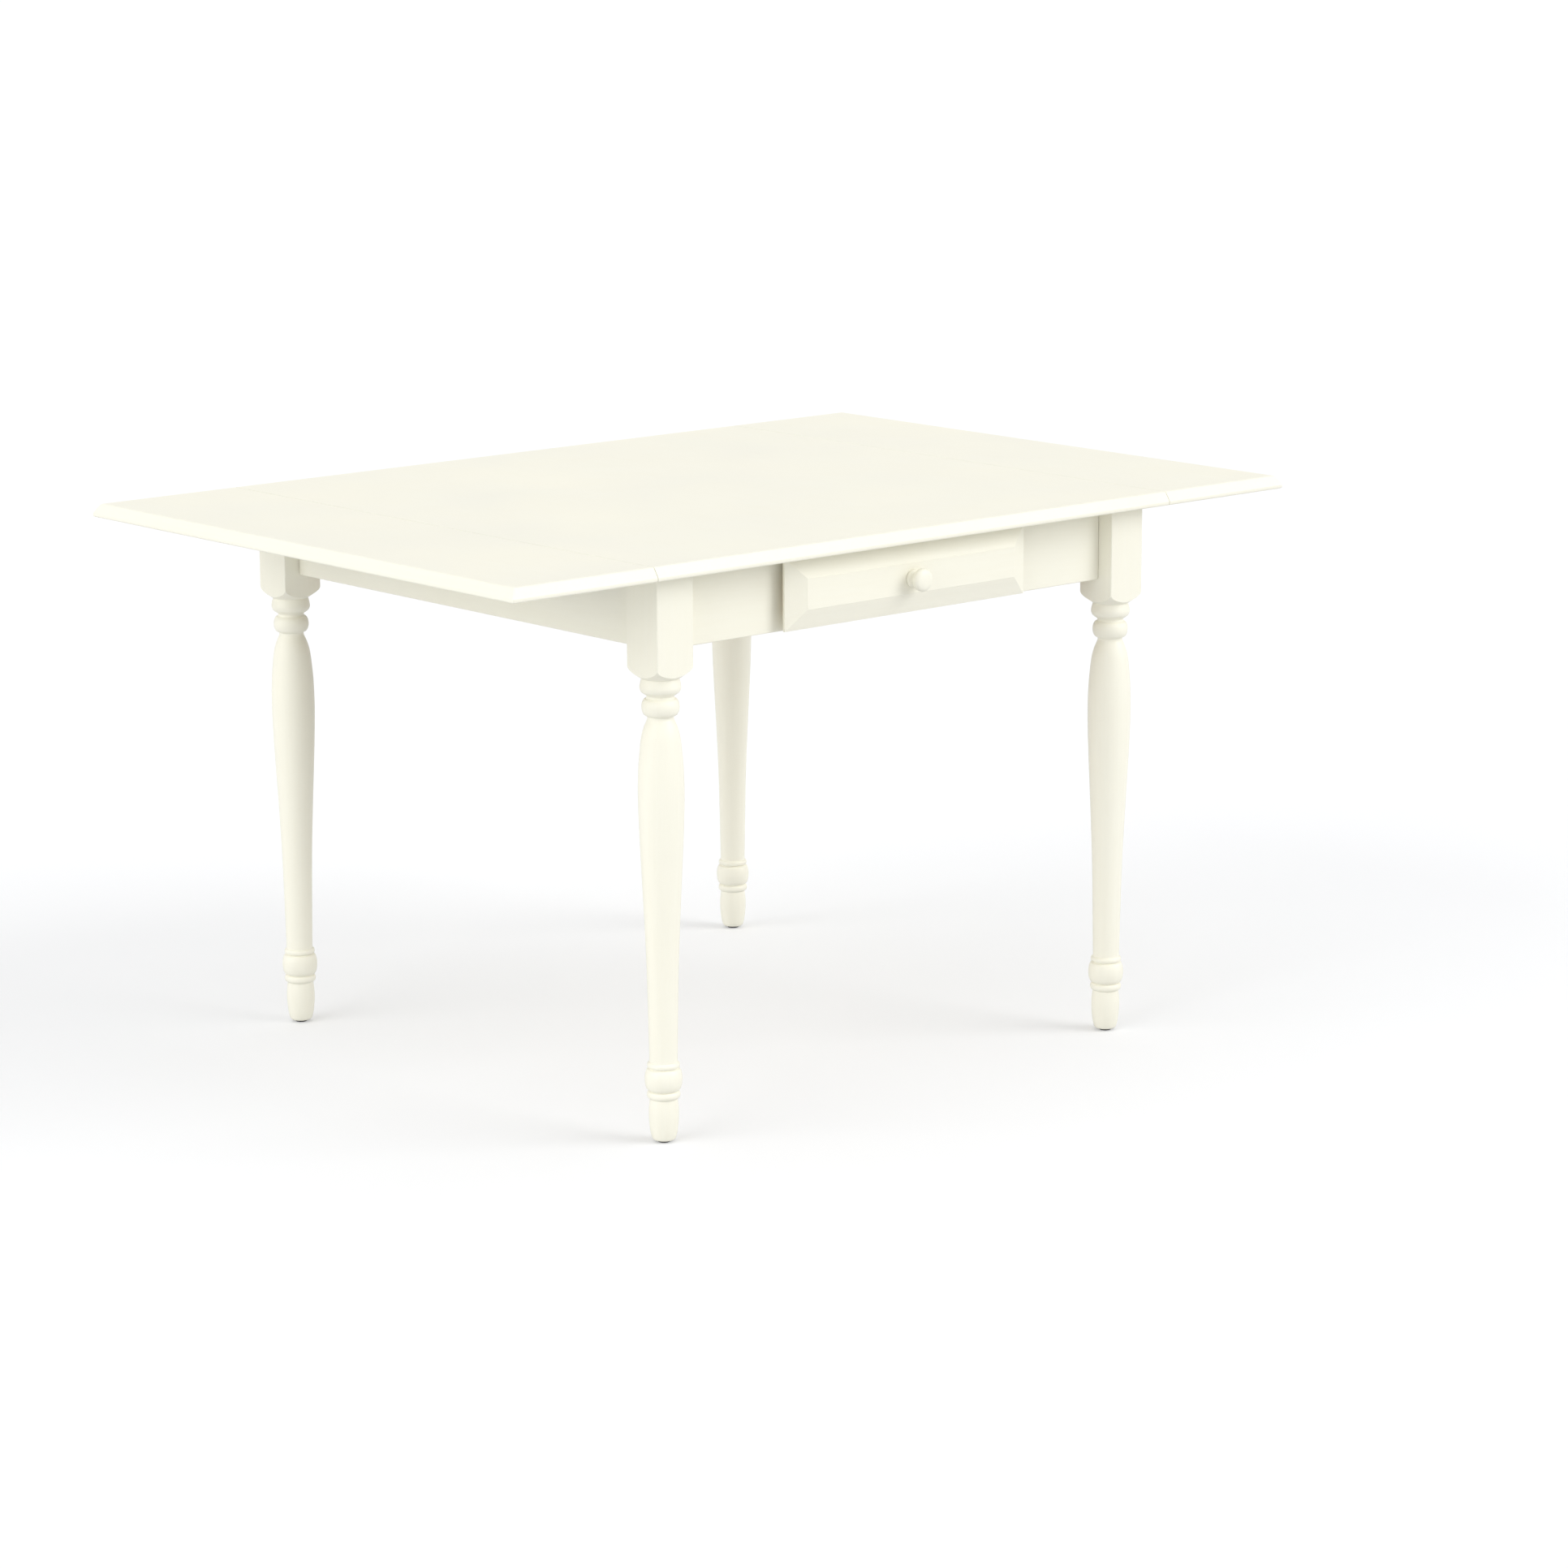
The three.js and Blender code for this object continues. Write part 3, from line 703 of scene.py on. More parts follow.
def stack_rings(shape: Shape, rings: Sequence[Sequence[Vector]]) -> None:
    """Skins a row of closed rings, each with the same number of points, and fills both ends.

    Args:
        shape: The mesh that the skin goes into.
        rings: The rings, in order.
    """
    rows = [[shape.verts.new(point) for point in ring] for ring in rings]
    count = len(rows[0])
    for low, high in zip(rows, rows[1:]):
        for i in range(count):
            after = (i + 1) % count
            shape.faces.new((low[i], low[after], high[after], high[i]))
    shape.faces.new(list(reversed(rows[0])))
    shape.faces.new(rows[-1])


def lathe(shape: Shape, profile: Profile, turn: Matrix, segments: int) -> None:
    """Turns a profile about an axis. It starts and ends on the axis.

    Args:
        shape: The mesh that the turning goes into.
        profile: Radius and height of each point.
        turn: From the turning's own frame, with its axis along Z, to the table's.
        segments: Steps around.
    """
    start = shape.verts.new(turn @ Vector((0, 0, profile[0][1])))
    end = shape.verts.new(turn @ Vector((0, 0, profile[-1][1])))
    rows = []
    for radius, height in profile[1:-1]:
        ring = []
        for i in range(segments):
            angle = 2 * math.pi * i / segments
            point = Vector((radius * math.cos(angle), radius * math.sin(angle), height))
            ring.append(shape.verts.new(turn @ point))
        rows.append(ring)
    for i in range(segments):
        after = (i + 1) % segments
        shape.faces.new((start, rows[0][after], rows[0][i]))
        shape.faces.new((end, rows[-1][i], rows[-1][after]))
        for low, high in zip(rows, rows[1:]):
            shape.faces.new((low[i], low[after], high[after], high[i]))


def catmull_rom(t: float, a: float, b: float, c: float, d: float) -> float:
    """The Catmull-Rom blend of four values in a row, at the share t of the way from b to c."""
    return 0.5 * (2 * b + (c - a) * t + (2 * a - 5 * b + 4 * c - d) * t * t + (3 * b - a - 3 * c + d) * t**3)


def smooth_curve(points: Profile, steps: int) -> Profile:
    """A smooth curve through points, by Catmull-Rom spans.

    Args:
        points: The points that it passes through.
        steps: Steps in each span.

    Returns:
        The curve's points, from the first to the last given one.
    """
    ends = [points[0], *points, points[-1]]
    curve: Profile = []
    for span in zip(ends, ends[1:], ends[2:], ends[3:]):
        for step in range(steps):
            curve.append(tuple(catmull_rom(step / steps, *values) for values in zip(*span)))
    return [*curve, points[-1]]


def bead(low: float, high: float, edge: float, widest: float, steps: int) -> Profile:
    """A rounded bead of a turning.

    Args:
        low: Height of its lower edge.
        high: Height of its upper edge.
        edge: Radius at both edges.
        widest: Radius at its middle.
        steps: Steps over its height.

    Returns:
        The bead's profile, from low to high.
    """
    middle, half = (low + high) / 2, (high - low) / 2
    angles = [math.pi * (i / steps - 0.5) for i in range(steps + 1)]
    return [(edge + (widest - edge) * math.cos(a), middle + half * math.sin(a)) for a in angles]


def rounded(corner: Vector, before: Vector, after: Vector, radius: float) -> list[Vector]:
    """Rounds off one corner of an outline by a short curve.

    Args:
        corner: The sharp corner.
        before: The point before it.
        after: The point after it.
        radius: How far back from the corner the curve starts on each side.

    Returns:
        The points that take the corner's place.
    """
    start = corner + (before - corner).normalized() * radius
    stop = corner + (after - corner).normalized() * radius
    points = []
    for i in range(ROUNDING_STEPS + 1):
        t = i / ROUNDING_STEPS
        points.append(start * (1 - t) ** 2 + corner * 2 * t * (1 - t) + stop * t * t)
    return points


def rounded_profile(points: Sequence[tuple[float, float, float]]) -> Profile:
    """An open outline with its inner corners rounded.

    Args:
        points: Across, up and rounding radius of each corner.

    Returns:
        The rounded outline.
    """
    places = [Vector((across, up)) for across, up, _ in points]
    outline = [places[0]]
    for before, corner, after, point in zip(places, places[1:], places[2:], points[1:]):
        outline += rounded(corner, before, after, point[2]) if point[2] > 0 else [corner]
    outline.append(places[-1])
    return [(point.x, point.y) for point in outline]


def eased_board(name: str, low: Vector, high: Vector, ease: float) -> Piece:
    """A board with all its edges eased.

    Args:
        name: The object's name.
        low: Its lowest corner.
        high: Its highest corner.
        ease: Radius of the eased edges.

    Returns:
        The object.
    """
    shape = bmesh.new()
    size = high - low
    place = Matrix.Translation((low + high) / 2) @ Matrix.Diagonal((*size, 1.0))
    bmesh.ops.create_cube(shape, size=1.0, matrix=place)
    bmesh.ops.bevel(shape, geom=shape.edges[:], offset=ease, segments=3, profile=0.5, affect="EDGES")
    return weighted(finish_mesh(name, shape, sharp=60.0))


def upright_axis(low: Vector, high: Vector) -> Matrix:
    """The move from the origin to a box's middle, seen from above."""
    return Matrix.Translation(((low.x + high.x) / 2, (low.y + high.y) / 2, 0))


def combined(name: str, first: Piece, second: Piece, operation: str) -> Piece:
    """Joins, cuts or intersects two closed meshes and keeps only the result.

    Args:
        name: The result's name.
        first: The mesh that stays.
        second: The mesh that works on it.
        operation: UNION, DIFFERENCE or INTERSECT.

    Returns:
        The result as a new object.

    Raises:
        ValueError: If nothing is left.
    """
    modifier = first.modifiers.new("boolean", "BOOLEAN")
    modifier.operation = operation
    modifier.object = second
    modifier.solver = "EXACT"
    bpy.context.view_layer.update()
    view = first.evaluated_get(bpy.context.evaluated_depsgraph_get())
    mesh = bpy.data.meshes.new_from_object(view)
    if not mesh.polygons:
        raise ValueError(f"{name} came out empty")
    mesh.name = name
    for used in (first, second):
        bpy.data.objects.remove(used)
    return object_from(name, mesh)


# The table's sub-assemblies


@dataclass
class Tabletop:
    """The fixed panel and the two leaves, each with its moulded edge."""

    shop: Workshop
    bevel_inset: float = 8.5 * MM
    bevel_drop: float = 12 * MM
    lip_round: float = 3.2 * MM
    corner_round: float = 2.5 * MM
    seam_ease: float = 0.25 * MM

    def edge_profile(self, thickness: float) -> Profile:
        """The moulded edge, outwards of the top's own edge line and down from the surface.

        Args:
            thickness: The top's thickness.

        Returns:
            Outward distance and drop, from the flat of the top to the underside.
        """
        return rounded_profile(
            [
                (-self.bevel_inset - 4 * MM, 0, 0),
                (-self.bevel_inset, 0, 2.2 * MM),
                (-0.4 * MM, -self.bevel_drop, 0.5 * MM),
                (0, -self.bevel_drop - 0.8 * MM, 0.3 * MM),
                (0, -thickness, self.lip_round),
                (-5 * MM, -thickness, 0),
            ]
        )

    def outline(self, out: float, low: float, high: float, moulded: Ends, half: float) -> list[Vector]:
        """A panel's outline at one level, with its outer corners a little rounded.

        Args:
            out: How far the outline stands outside the edge line on the moulded sides.
            low: Where the panel starts along X.
            high: Where it ends along X.
            moulded: Whether its low and its high end are moulded.
            half: Half the table's width.

        Returns:
            The points, anticlockwise from above.
        """
        low_end, high_end = moulded
        start = low - out if low_end else low
        stop = high + out if high_end else high
        side = half + out
        corners = [
            (Vector((start, -side)), low_end),
            (Vector((stop, -side)), high_end),
            (Vector((stop, side)), high_end),
            (Vector((start, side)), low_end),
        ]
        points = []
        for i, (corner, soft) in enumerate(corners):
            if soft:
                points += rounded(corner, corners[i - 1][0], corners[(i + 1) % 4][0], self.corner_round)
            else:
                points.append(corner)
        return points

    def panel(self, name: str, node: str, moulded: Ends) -> Piece:
        """Builds one panel of the top.

        Args:
            name: The piece's name.
            node: The frame's node that it stands for.
            moulded: Whether its -X and its +X end are moulded.

        Returns:
            The object.
        """
        low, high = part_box(node)
        shape = bmesh.new()
        rings = []
        levels = self.edge_profile(high.z - low.z)
        for level, (out, drop) in enumerate(levels):
            ease = self.seam_ease if level in (0, len(levels) - 1) else 0.0
            start = low.x + (0 if moulded[0] else ease)
            stop = high.x - (0 if moulded[1] else ease)
            points = self.outline(out, start, stop, moulded, high.y)
            rings.append([Vector((p.x, p.y, high.z + drop)) for p in points])
        stack_rings(shape, rings)
        return weighted(finish_mesh(name, shape, sharp=50.0))

    def build(self) -> None:
        """Builds and dresses the three panels."""
        paint = self.shop.finishes.paint[Axis.ALONG_Y]
        for name, node, moulded, body in (
            ("fixed_top", "top_center_panel", (False, False), Body.FRAME),
            ("left_leaf_top", "left_leaf", (True, False), Body.LEFT_LEAF),
            ("right_leaf_top", "right_leaf", (False, True), Body.RIGHT_LEAF),
        ):
            self.shop.place(self.panel(name, node, moulded), paint, Slot.PAINT, body.value, [node])


@dataclass
class TurnedLegs:
    """Four turned legs with square upper blocks, and the glides under them."""

    shop: Workshop
    pommel_bottom: float = 608.3 * MM
    pommel_top: float = 627 * MM
    neck_radius: float = 24.2 * MM
    foot_bottom: float = 3.3 * MM
    arris: float = 1.4 * MM
    arris_share: float = 0.35
    clear_of_block: float = 4 * MM
    nail_radius: float = 1.5 * MM
    nail_end: float = 2 * MM
    segments: int = 96
    glide_segments: int = 48

    def turning(self) -> Profile:
        """The turned part's profile, from the foot to the pommel.

        Returns:
            Radius and height in metres.
        """
        foot = smooth_curve(
            [(13.5, 3.3), (15.6, 6.0), (17.9, 16), (19.3, 30), (19.5, 41), (18.9, 50), (17.9, 57.5)], 5
        )
        vase = smooth_curve(
            [
                (18.2, 107.5), (18.5, 125), (20.6, 230), (23.1, 295), (25.6, 348), (28.2, 402),
                (29.75, 452), (29.1, 488), (27.4, 512), (25.2, 531), (22.3, 543), (19.4, 550.5),
                (17.3, 555.5), (17.0, 558),
            ],
            6,
        )
        neck = smooth_curve([(17.2, 559.4), (18.4, 560.3)], 2)
        cove = smooth_curve([(18.5, 582.8), (17.8, 584.4), (17.9, 586), (19.8, 587.6)], 3)
        upper_bead = smooth_curve(
            [(20.6, 588), (23.4, 589.9), (25.3, 592), (26.6, 596), (26.3, 600), (25.4, 604), (24.4, 607.6)],
            4,
        )
        points = [
            (0, self.foot_bottom / MM),
            *foot,
            (18.3, 58.4),
            *bead(58.8, 68.2, 18.8, 21.7, 10),
            (19.6, 69.2),
            *bead(70.0, 98.0, 20.0, 24.35, 18),
            (18.9, 98.6),
            *bead(99.2, 106.4, 18.9, 21.2, 8),
            (18.1, 106.9),
            *vase,
            *neck,
            *bead(560.4, 582.6, 18.5, 24.35, 14),
            *cove,
            *upper_bead,
            (self.neck_radius / MM, self.pommel_bottom / MM - 0.3),
            (self.neck_radius / MM - 0.5, self.pommel_bottom / MM + 2),
            (0, self.pommel_bottom / MM + 2),
        ]
        return [(radius * MM, height * MM) for radius, height in points]

    def block(self, low: Vector, high: Vector) -> Piece:
        """The square block, its arrises eased and its lower end rounded off in the lathe.

        Args:
            low: Lowest corner of the leg.
            high: Highest corner of the leg.

        Returns:
            The object.
        """
        middle = upright_axis(low, high)
        half = (high.x - low.x) / 2
        square = bmesh.new()
        height = high.z - self.pommel_bottom
        place = middle @ Matrix.Translation((0, 0, self.pommel_bottom + height / 2))
        size = Matrix.Diagonal((2 * half, 2 * half, height, 1.0))
        bmesh.ops.create_cube(square, size=1.0, matrix=place @ size)
        upright = [e for e in square.edges if abs((e.verts[0].co - e.verts[1].co).z) > height / 2]
        bmesh.ops.bevel(square, geom=upright, offset=self.arris, segments=4, profile=0.5, affect="EDGES")
        corner = half * math.sqrt(2) - self.arris * self.arris_share
        curve = smooth_curve(
            [
                (24.2, 608.3), (27.9, 610.6), (31.7, 613.2), (35.6, 615.9), (39.0, 618.7), (41.4, 622),
                (42.4, 627),
            ],
            4,
        )
        ovolo = [(min(radius * MM, corner), height * MM) for radius, height in curve]
        outside = corner + self.clear_of_block
        above = high.z + MM
        side = [(outside, self.pommel_top + self.clear_of_block), (outside, above)]
        round_end = bmesh.new()
        profile = [(0, self.pommel_bottom), *ovolo, *side, (0, above)]
        lathe(round_end, profile, middle, self.segments)
        return combined(
            "leg_block",
            finish_mesh("square_block", square),
            finish_mesh("round_end", round_end),
            "INTERSECT",
        )

    def leg(self, corner: str) -> Piece:
        """Builds one leg where it stands.

        Args:
            corner: The corner's name, such as front_left.

        Returns:
            The object.
        """
        low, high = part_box(f"{corner}_leg")
        middle = upright_axis(low, high)
        shape = bmesh.new()
        lathe(shape, self.turning(), middle, self.segments)
        bmesh.ops.recalc_face_normals(shape, faces=shape.faces)
        block = self.block(low, high)
        shape.from_mesh(block.data)
        bpy.data.objects.remove(block)
        return finish_mesh(f"{corner}_turned_leg", shape, sharp=30.0)

    def glide(self, corner: str) -> Piece:
        """Builds one nail-on glide.

        Args:
            corner: The corner's name.

        Returns:
            The object.
        """
        low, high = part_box(f"{corner}_glide")
        middle = upright_axis(low, high)
        radius = (high.x - low.x) / 2
        dome = [(radius - 1.6 * MM, 0), (radius - 0.6 * MM, 0.3 * MM), (radius - 0.1 * MM, 1.0 * MM)]
        rim = [(radius - 0.1 * MM, 2.4 * MM), (radius - 0.6 * MM, 3.0 * MM)]
        nail = [(self.nail_radius, 3.0 * MM), (self.nail_radius, high.z - self.nail_end)]
        shape = bmesh.new()
        lathe(shape, [(0, 0), *dome, *rim, *nail, (0, high.z)], middle, self.glide_segments)
        return finish_mesh(f"{corner}_foot_glide", shape, sharp=40.0)

    def build(self) -> None:
        """Builds and dresses the legs and glides."""
        paint, plastic = self.shop.finishes.turned_paint, self.shop.finishes.glide
        frame = Body.FRAME.value
        for corner in ("front_left", "front_right", "back_right", "back_left"):
            self.shop.place(self.leg(corner), paint, Slot.PAINT, frame, [f"{corner}_leg"])
            self.shop.place(self.glide(corner), plastic, Slot.GLIDE, frame, [f"{corner}_glide"])


@dataclass
class Underframe:
    """Aprons, drawer rails, kicker and stops, each an eased board."""

    shop: Workshop
    apron_ease: float = 1.8 * MM
    plain_ease: float = 0.8 * MM
    aprons: Boards = (
        ("front_left_apron", Axis.ALONG_X),
        ("front_right_apron", Axis.ALONG_X),
        ("back_apron", Axis.ALONG_X),
        ("left_end_apron", Axis.ALONG_Y),
        ("right_end_apron", Axis.ALONG_Y),
    )
    inner: Boards = (
        ("drawer_upper_rail", Axis.ALONG_X),
        ("drawer_lower_rail", Axis.ALONG_X),
        ("drawer_kicker", Axis.ALONG_Y),
        ("drawer_pullout_stop", Axis.ALONG_X),
        ("drawer_closing_stop", Axis.ALONG_X),
    )

    def build(self) -> None:
        """Builds and dresses the boards."""
        finishes = self.shop.finishes
        for boards, ease, finish, slot in (
            (self.aprons, self.apron_ease, finishes.paint, Slot.PAINT),
            (self.inner, self.plain_ease, finishes.wood, Slot.WOOD),
        ):
            for node, axis in boards:
                board = eased_board(f"{node}_board", *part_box(node), ease)
                self.shop.place(board, finish[axis], slot, Body.FRAME.value, [node])


@dataclass
class DrawerBox:
    """The drawer's raised front, knob, and the box behind it."""

    shop: Workshop
    lip: float = 4 * MM
    margin_end: float = 29.3 * MM
    margin_side: float = 27 * MM
    hollow: float = 0.3 * MM
    arris: float = 0.35 * MM
    arris_from: float = 11
    board_ease: float = 0.8 * MM
    ply_ease: float = 0.3 * MM
    bevel_steps: int = 8
    knob_segments: int = 64
    edge_groove: tuple[Span, ...] = ((0.0, 0.4), (0.4, 0.0), (1.5, 0.0), (1.7, 0.5), (2.2, 0.5), (2.4, 0.0))

    def front(self) -> Piece:
        """The raised panel: a thin edge, hollowed bevels mitred at the corners, and a flat field.

        Returns:
            The object.
        """
        low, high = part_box("drawer_front")
        proud, lip = high.y - low.y, self.lip
        levels = [(0.0, lip - 0.7 * MM), (0.004, lip - 0.2 * MM), (0.014, lip), (0.035, lip + 0.1 * MM)]
        for i in range(1, self.bevel_steps):
            share = i / self.bevel_steps
            rise = lip + (proud - lip) * share
            levels.append((share, rise - self.hollow * math.sin(math.pi * share)))
        levels += [(0.965, proud - 0.75 * MM), (0.985, proud - 0.3 * MM), (1.005, proud - 0.07 * MM)]
        levels.append((1.03, proud))
        rings = []
        for depth, inset in self.edge_groove:
            rings.append(self.ring(low, high, 0.0, depth * MM, inset * MM))
        rings += [self.ring(low, high, share, depth, 0.0) for share, depth in levels]
        shape = bmesh.new()
        stack_rings(shape, rings)
        front = finish_mesh("drawer_raised_front", shape, sharp=14.0)
        arris = front.modifiers.new("rounded_arrises", "BEVEL")
        arris.width = self.arris
        arris.segments = 2
        arris.limit_method = "ANGLE"
        arris.angle_limit = math.radians(self.arris_from)
        return weighted(front)

    def ring(self, low: Vector, high: Vector, share: float, depth: float, inset: float) -> list[Vector]:
        """One level of the raised panel.

        Args:
            low: Lowest corner of the front.
            high: Highest corner of the front.
            share: How far in the level lies, from 0 at the edge to 1 at the field.
            depth: How far the level stands off the back.
            inset: An extra inset on all four sides.

        Returns:
            The four corners.
        """
        across = share * self.margin_end + inset
        up = share * self.margin_side + inset
        y = high.y - depth
        return [
            Vector((low.x + across, y, low.z + up)),
            Vector((high.x - across, y, low.z + up)),
            Vector((high.x - across, y, high.z - up)),
            Vector((low.x + across, y, high.z - up)),
        ]

    def knob(self) -> Piece:
        """The turned mushroom knob.

        Returns:
            The object.
        """
        low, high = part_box("drawer_knob")
        length = high.y - low.y
        head = (high.x - low.x) / 2
        axis = Matrix.Translation(((low.x + high.x) / 2, high.y, (low.z + high.z) / 2))
        axis = axis @ Matrix.Rotation(math.pi / 2, 4, "X")
        flange = [(0.76, 0.0), (0.79, 0.03), (0.795, 0.10), (0.77, 0.15), (0.66, 0.20)]
        neck = [(0.56, 0.25), (0.52, 0.31), (0.56, 0.39), (0.68, 0.47)]
        cap = [(0.85, 0.53), (0.96, 0.59), (0.997, 0.67), (0.99, 0.76), (0.93, 0.85), (0.79, 0.925)]
        crown = [(0.53, 0.975), (0.25, 0.99), (0.03, 1.0)]
        outline = smooth_curve([*flange, *neck, *cap, *crown], 4)
        profile = [(0.0, 0.0), *[(radius * head, out * length) for radius, out in outline], (0.0, length)]
        shape = bmesh.new()
        lathe(shape, profile, axis, self.knob_segments)
        return finish_mesh("turned_knob", shape, sharp=50.0)

    def build(self) -> None:
        """Builds and dresses the drawer."""
        finishes = self.shop.finishes
        drawer = Body.DRAWER.value
        paint = finishes.paint[Axis.ALONG_X]
        self.shop.place(self.front(), paint, Slot.PAINT, drawer, ["drawer_front"])
        self.shop.place(self.knob(), finishes.turned_paint, Slot.PAINT, drawer, ["drawer_knob"])
        back = eased_board("drawer_back_board", *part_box("drawer_back"), self.board_ease)
        self.shop.place(back, finishes.wood[Axis.ALONG_X], Slot.WOOD, drawer, ["drawer_back"])
        bottom = eased_board("drawer_bottom_ply", *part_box("drawer_bottom"), self.ply_ease)
        self.shop.place(bottom, finishes.plywood, Slot.WOOD, drawer, ["drawer_bottom"])


@dataclass
class Screws:
    """Countersunk screws that hold the steel plates, all of one pattern."""

    shop: Workshop
    head_radius: float = 3.6 * MM
    proud: float = 0.25 * MM
    rim_depth: float = 0.4 * MM
    cone_depth: float = 2.2 * MM
    shank_radius: float = 1.6 * MM
    length: float = 12 * MM
    face_share: float = 0.9
    straight_share: float = 0.8
    segments: int = 24
    slot_length: float = 4.0 * MM
    slot_width: float = 0.9 * MM
    slot_depth: float = 1.1 * MM
    hinge_plate: float = 2 * MM
    hinge_inset: float = 11 * MM
    hinge_shares: Span = (-0.3, 0.3)
    flange_middle: float = 8 * MM
    rail_inset: float = 9 * MM
    bracket_plate: float = 3 * MM
    bracket_shares: tuple[Span, ...] = ((-0.32, 0.8), (0.32, 0.8), (-0.32, 0.12), (0.32, 0.12))

    def pattern(self) -> bpy.types.Mesh:
        """The screw's mesh, with its axis along +Z and its face at the origin.

        Returns:
            The mesh.
        """
        radius, shank = self.head_radius, self.shank_radius
        face = [(0, self.proud), (radius * self.face_share, self.proud), (radius, self.proud * 0.4)]
        cone = [(radius, -self.rim_depth), (shank, -self.cone_depth)]
        point = [(shank, -self.length * self.straight_share), (0, -self.length)]
        shape = bmesh.new()
        lathe(shape, [*face, *cone, *point], Matrix.Identity(4), self.segments)
        made = combined("screw_head", finish_mesh("head", shape), self.recess(), "DIFFERENCE")
        mesh = made.data
        bpy.data.objects.remove(made)
        return mesh

    def recess(self) -> Piece:
        """The cross-shaped tool that cuts the driver's recess.

        Returns:
            The object.
        """
        half, reach = self.slot_width / 2, self.slot_length / 2
        corner = [(reach, half), (half, half), (half, reach)]
        cross = [*corner, *((-x, y) for x, y in reversed(corner))]
        cross += [(-x, -y) for x, y in cross]
        tool = bmesh.new()
        depths = (-self.slot_depth, self.slot_depth)
        stack_rings(tool, [[Vector((x, y, z)) for x, y in cross] for z in depths])
        return finish_mesh("recess", tool)

    def hinge(self, end: str, place: str, side: int) -> Iterator[Drive]:
        """Where the screws of one hinge go.

        Args:
            end: The table's end, left or right.
            place: front or back.
            side: -1 at the left end, 1 at the right end.

        Yields:
            Each screw's name, place, facing and body.
        """
        for part, body in (("fixed", Body.FRAME.value), ("leaf", f"{end}_leaf")):
            low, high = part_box(f"{end}_{place}_hinge_{part}_plate")
            at_low = (part == "leaf") == (side < 0)
            x = low.x + self.hinge_inset if at_low else high.x - self.hinge_inset
            for i, along in enumerate(self.hinge_shares, start=1):
                y = (low.y + high.y) / 2 + along * (high.y - low.y)
                spot = Vector((x, y, high.z - self.hinge_plate))
                yield f"{end}_{place}_hinge_{part}_screw_{i}", spot, DOWN, body

    def bracket(self, end: str, place: str, side: int) -> Iterator[Drive]:
        """Where the screws of one folding bracket go.

        Args:
            end: The table's end, left or right.
            place: front or back.
            side: -1 at the left end, 1 at the right end.

        Yields:
            Each screw's name, place, facing and body.
        """
        low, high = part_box(f"{end}_{place}_bracket_rail")
        y = high.y - self.flange_middle if side < 0 else low.y + self.flange_middle
        for i, x in enumerate((low.x + self.rail_inset, high.x - self.rail_inset), start=1):
            spot = Vector((x, y, high.z - self.hinge_plate))
            yield f"{end}_{place}_rail_screw_{i}", spot, DOWN, f"{end}_leaf"
        low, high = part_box(f"{end}_{place}_bracket_plate")
        face = high.x - self.bracket_plate if side < 0 else low.x + self.bracket_plate
        for i, (across, up) in enumerate(self.bracket_shares, start=1):
            y = (low.y + high.y) / 2 + across * (high.y - low.y)
            spot = Vector((face, y, low.z + up * (high.z - low.z)))
            yield f"{end}_{place}_plate_screw_{i}", spot, Vector((side, 0, 0)), Body.FRAME.value

    def build(self) -> None:
        """Sets the screws of the hinges and brackets."""
        pattern = self.pattern()
        for end, side in (("left", -1), ("right", 1)):
            for place in ("front", "back"):
                for holds in (self.hinge, self.bracket):
                    for name, spot, facing, body in holds(end, place, side):
                        screw = object_from(name, pattern.copy())
                        turn = facing.to_track_quat("Z", "Y").to_matrix().to_4x4()
                        screw.data.transform(Matrix.Translation(spot) @ turn)
                        self.shop.place(screw, self.shop.finishes.steel, Slot.STEEL, body)


@dataclass
class CarriedOver:
    """Frame nodes that keep their own shape and get a finish and eased edges."""

    shop: Workshop
    steel_ease: float = 0.35 * MM
    wood_ease: float = 0.8 * MM
    eased_from: float = 40

    def dress(self, node: Piece, material: bpy.types.Material, ease: float) -> None:
        """Gives a node its finish and eases its edges.

        Args:
            node: The frame's node.
            material: Its finish.
            ease: Width of the eased edges.
        """
        node.data.materials.clear()
        node.data.materials.append(material)
        bevel = node.modifiers.new("eased_edges", "BEVEL")
        bevel.width = ease
        bevel.segments = 2
        bevel.limit_method = "ANGLE"
        bevel.angle_limit = math.radians(self.eased_from)
        LOG.info("%s keeps its solid", node.name)

    def build(self, nodes: dict[str, Piece]) -> None:
        """Dresses every node that no piece stands for.

        Args:
            nodes: The frame's nodes by name.
        """
        finishes = self.shop.finishes
        wooden = {
            "left_drawer_runner": Axis.ALONG_Y,
            "right_drawer_runner": Axis.ALONG_Y,
            "drawer_box_front": Axis.ALONG_X,
            "drawer_left_side": Axis.ALONG_Y,
            "drawer_right_side": Axis.ALONG_Y,
        }
        for name, node in nodes.items():
            if node.hide_render:
                continue
            if name.endswith("corner_block"):
                self.dress(node, finishes.wood[Axis.ALONG_Z], self.wood_ease)
            elif name in wooden:
                self.dress(node, finishes.wood[wooden[name]], self.wood_ease)
            else:
                self.dress(node, finishes.steel, self.steel_ease)


# The room: floor, light and viewpoint


@dataclass(frozen=True)
class Lamp:
    """A very large, far-off soft lamp, whose light is even over the whole floor."""

    name: str
    toward: tuple[float, float, float]
    strength: float
    spread: float

    def hang(self) -> None:
        """Puts the lamp up."""
        data = bpy.data.lights.new(self.name, "SUN")
        data.energy = self.strength
        data.angle = math.radians(self.spread)
        lamp = object_from(self.name, data)
        lamp.rotation_euler = Vector(self.toward).to_track_quat("Z", "Y").to_euler()


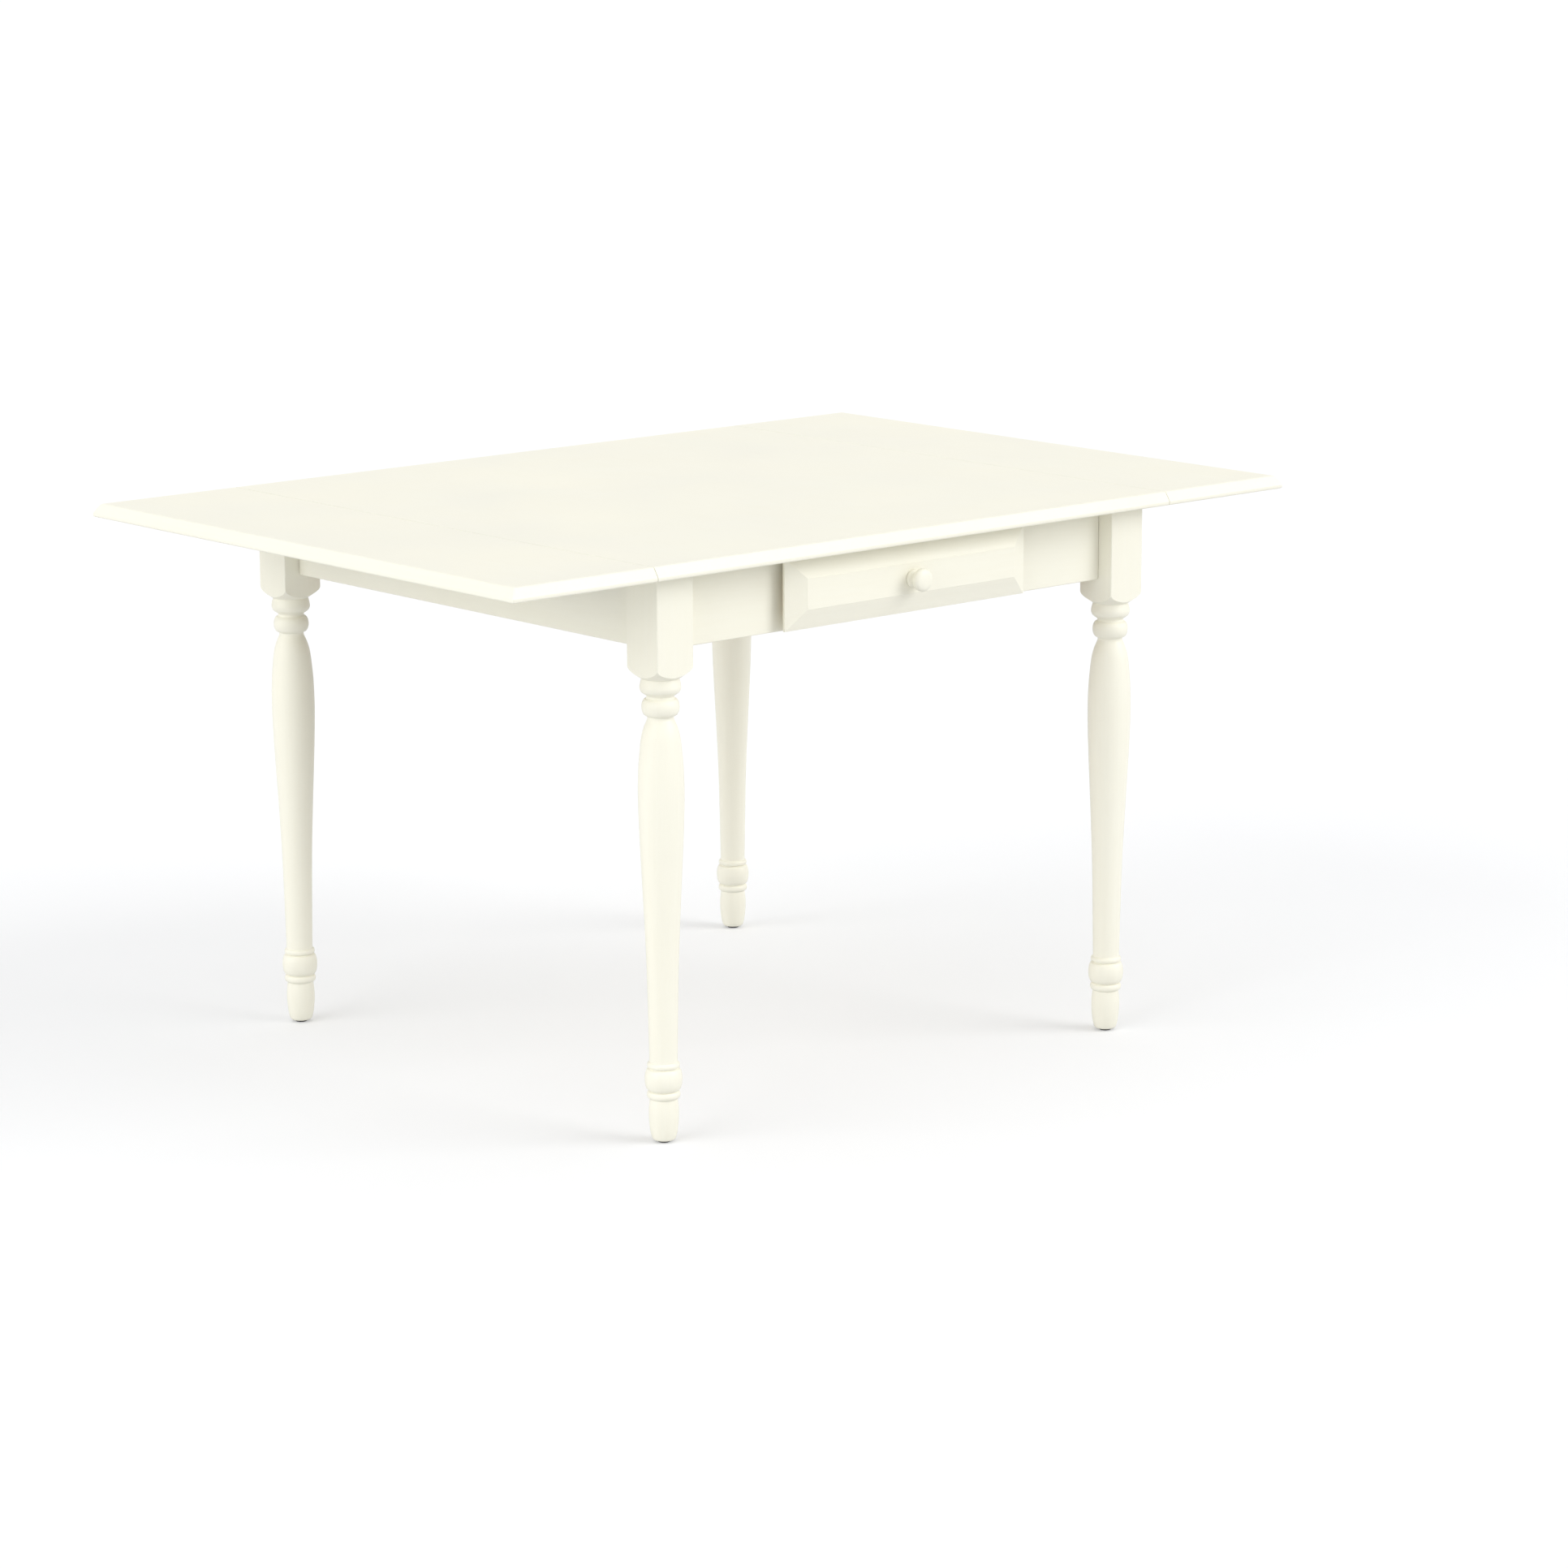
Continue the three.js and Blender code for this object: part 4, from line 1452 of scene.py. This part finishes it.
@dataclass
class Studio:
    """A plain pale floor, soft light and the camera."""

    eye: tuple[float, float, float] = (-4.06634, -4.74861, 1.71378)
    heading: float = math.radians(-41.648)
    tilt_down: float = math.radians(12.333)
    roll: float = -0.0025
    lens: float = 105.4
    sensor: float = 36.0
    sight: float = 400.0
    floor_size: float = 160.0
    floor_glow: float = 0.26
    floor_tones: tuple[Tone, Tone] = ((0.675, 0.68, 0.69, 1.0), (0.685, 0.69, 0.7, 1.0))
    white: Tone = (1.0, 1.0, 1.0, 1.0)
    sky: float = 0.6
    lamps: tuple[Lamp, ...] = (
        Lamp("key_lamp", toward=(0.52, -0.72, 0.47), strength=1.47, spread=40),
        Lamp("fill_lamp", toward=(-0.95, 0.05, 0.28), strength=1.72, spread=60),
        Lamp("top_lamp", toward=(0.0, 0.0, 1.0), strength=0.5, spread=110),
    )

    def camera(self) -> None:
        """Sets up the camera."""
        data = bpy.data.cameras.new("viewpoint")
        data.lens = self.lens
        data.sensor_width = self.sensor
        data.clip_end = self.sight
        camera = object_from("viewpoint", data)
        flat = math.cos(self.tilt_down)
        ahead = Vector(
            (-math.sin(self.heading) * flat, math.cos(self.heading) * flat, -math.sin(self.tilt_down))
        )
        level = Vector((math.cos(self.heading), math.sin(self.heading), 0))
        upward = level.cross(ahead)
        right = level * math.cos(self.roll) + upward * math.sin(self.roll)
        up = upward * math.cos(self.roll) - level * math.sin(self.roll)
        turn = Matrix((right, up, -ahead)).transposed().to_4x4()
        camera.matrix_world = Matrix.Translation(self.eye) @ turn
        bpy.context.scene.camera = camera

    def floor(self) -> None:
        """Lays a pale floor that stays bright where the table shades it."""
        shape = bmesh.new()
        half = self.floor_size / 2
        corners = [(-half, -half, 0), (half, -half, 0), (half, half, 0), (-half, half, 0)]
        shape.faces.new([shape.verts.new(corner) for corner in corners])
        floor = finish_mesh("floor", shape)
        material, sheet, shader, place = start_material("pale_floor")
        tone = sheet.remap(sheet.noise(place, scale=0.8), (0.3, 0.7))
        seen = sheet.add("ShaderNodeLightPath").outputs["Is Camera Ray"]
        sheet.wire(
            shader,
            Base_Color=sheet.blend(tone, *self.floor_tones),
            Roughness=0.9,
            Specular_IOR_Level=0.1,
            Emission_Color=self.white,
            Emission_Strength=sheet.math("MULTIPLY", seen, self.floor_glow),
        )
        floor.data.materials.append(material)

    def build(self) -> None:
        """Sets up the camera, the floor, the lamps and the sky."""
        self.camera()
        self.floor()
        for lamp in self.lamps:
            lamp.hang()
        world = bpy.data.worlds.new("studio")
        world.use_nodes = True
        background = world.node_tree.nodes["Background"]
        background.inputs["Color"].default_value = self.white
        background.inputs["Strength"].default_value = self.sky
        bpy.context.scene.world = world
        bpy.context.scene.view_settings.view_transform = "Standard"
        bpy.context.scene.view_settings.look = "None"


def main() -> None:
    """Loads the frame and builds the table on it."""
    logging.basicConfig(level=logging.INFO, format="%(name)s: %(message)s")
    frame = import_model()
    Studio().build()
    shop = Workshop(Finishes())
    Tabletop(shop).build()
    TurnedLegs(shop).build()
    Underframe(shop).build()
    DrawerBox(shop).build()
    Screws(shop).build()
    CarriedOver(shop).build(frame["nodes"])
    LOG.info("%d pieces made", len(shop.made))


if __name__ == "__main__":
    main()
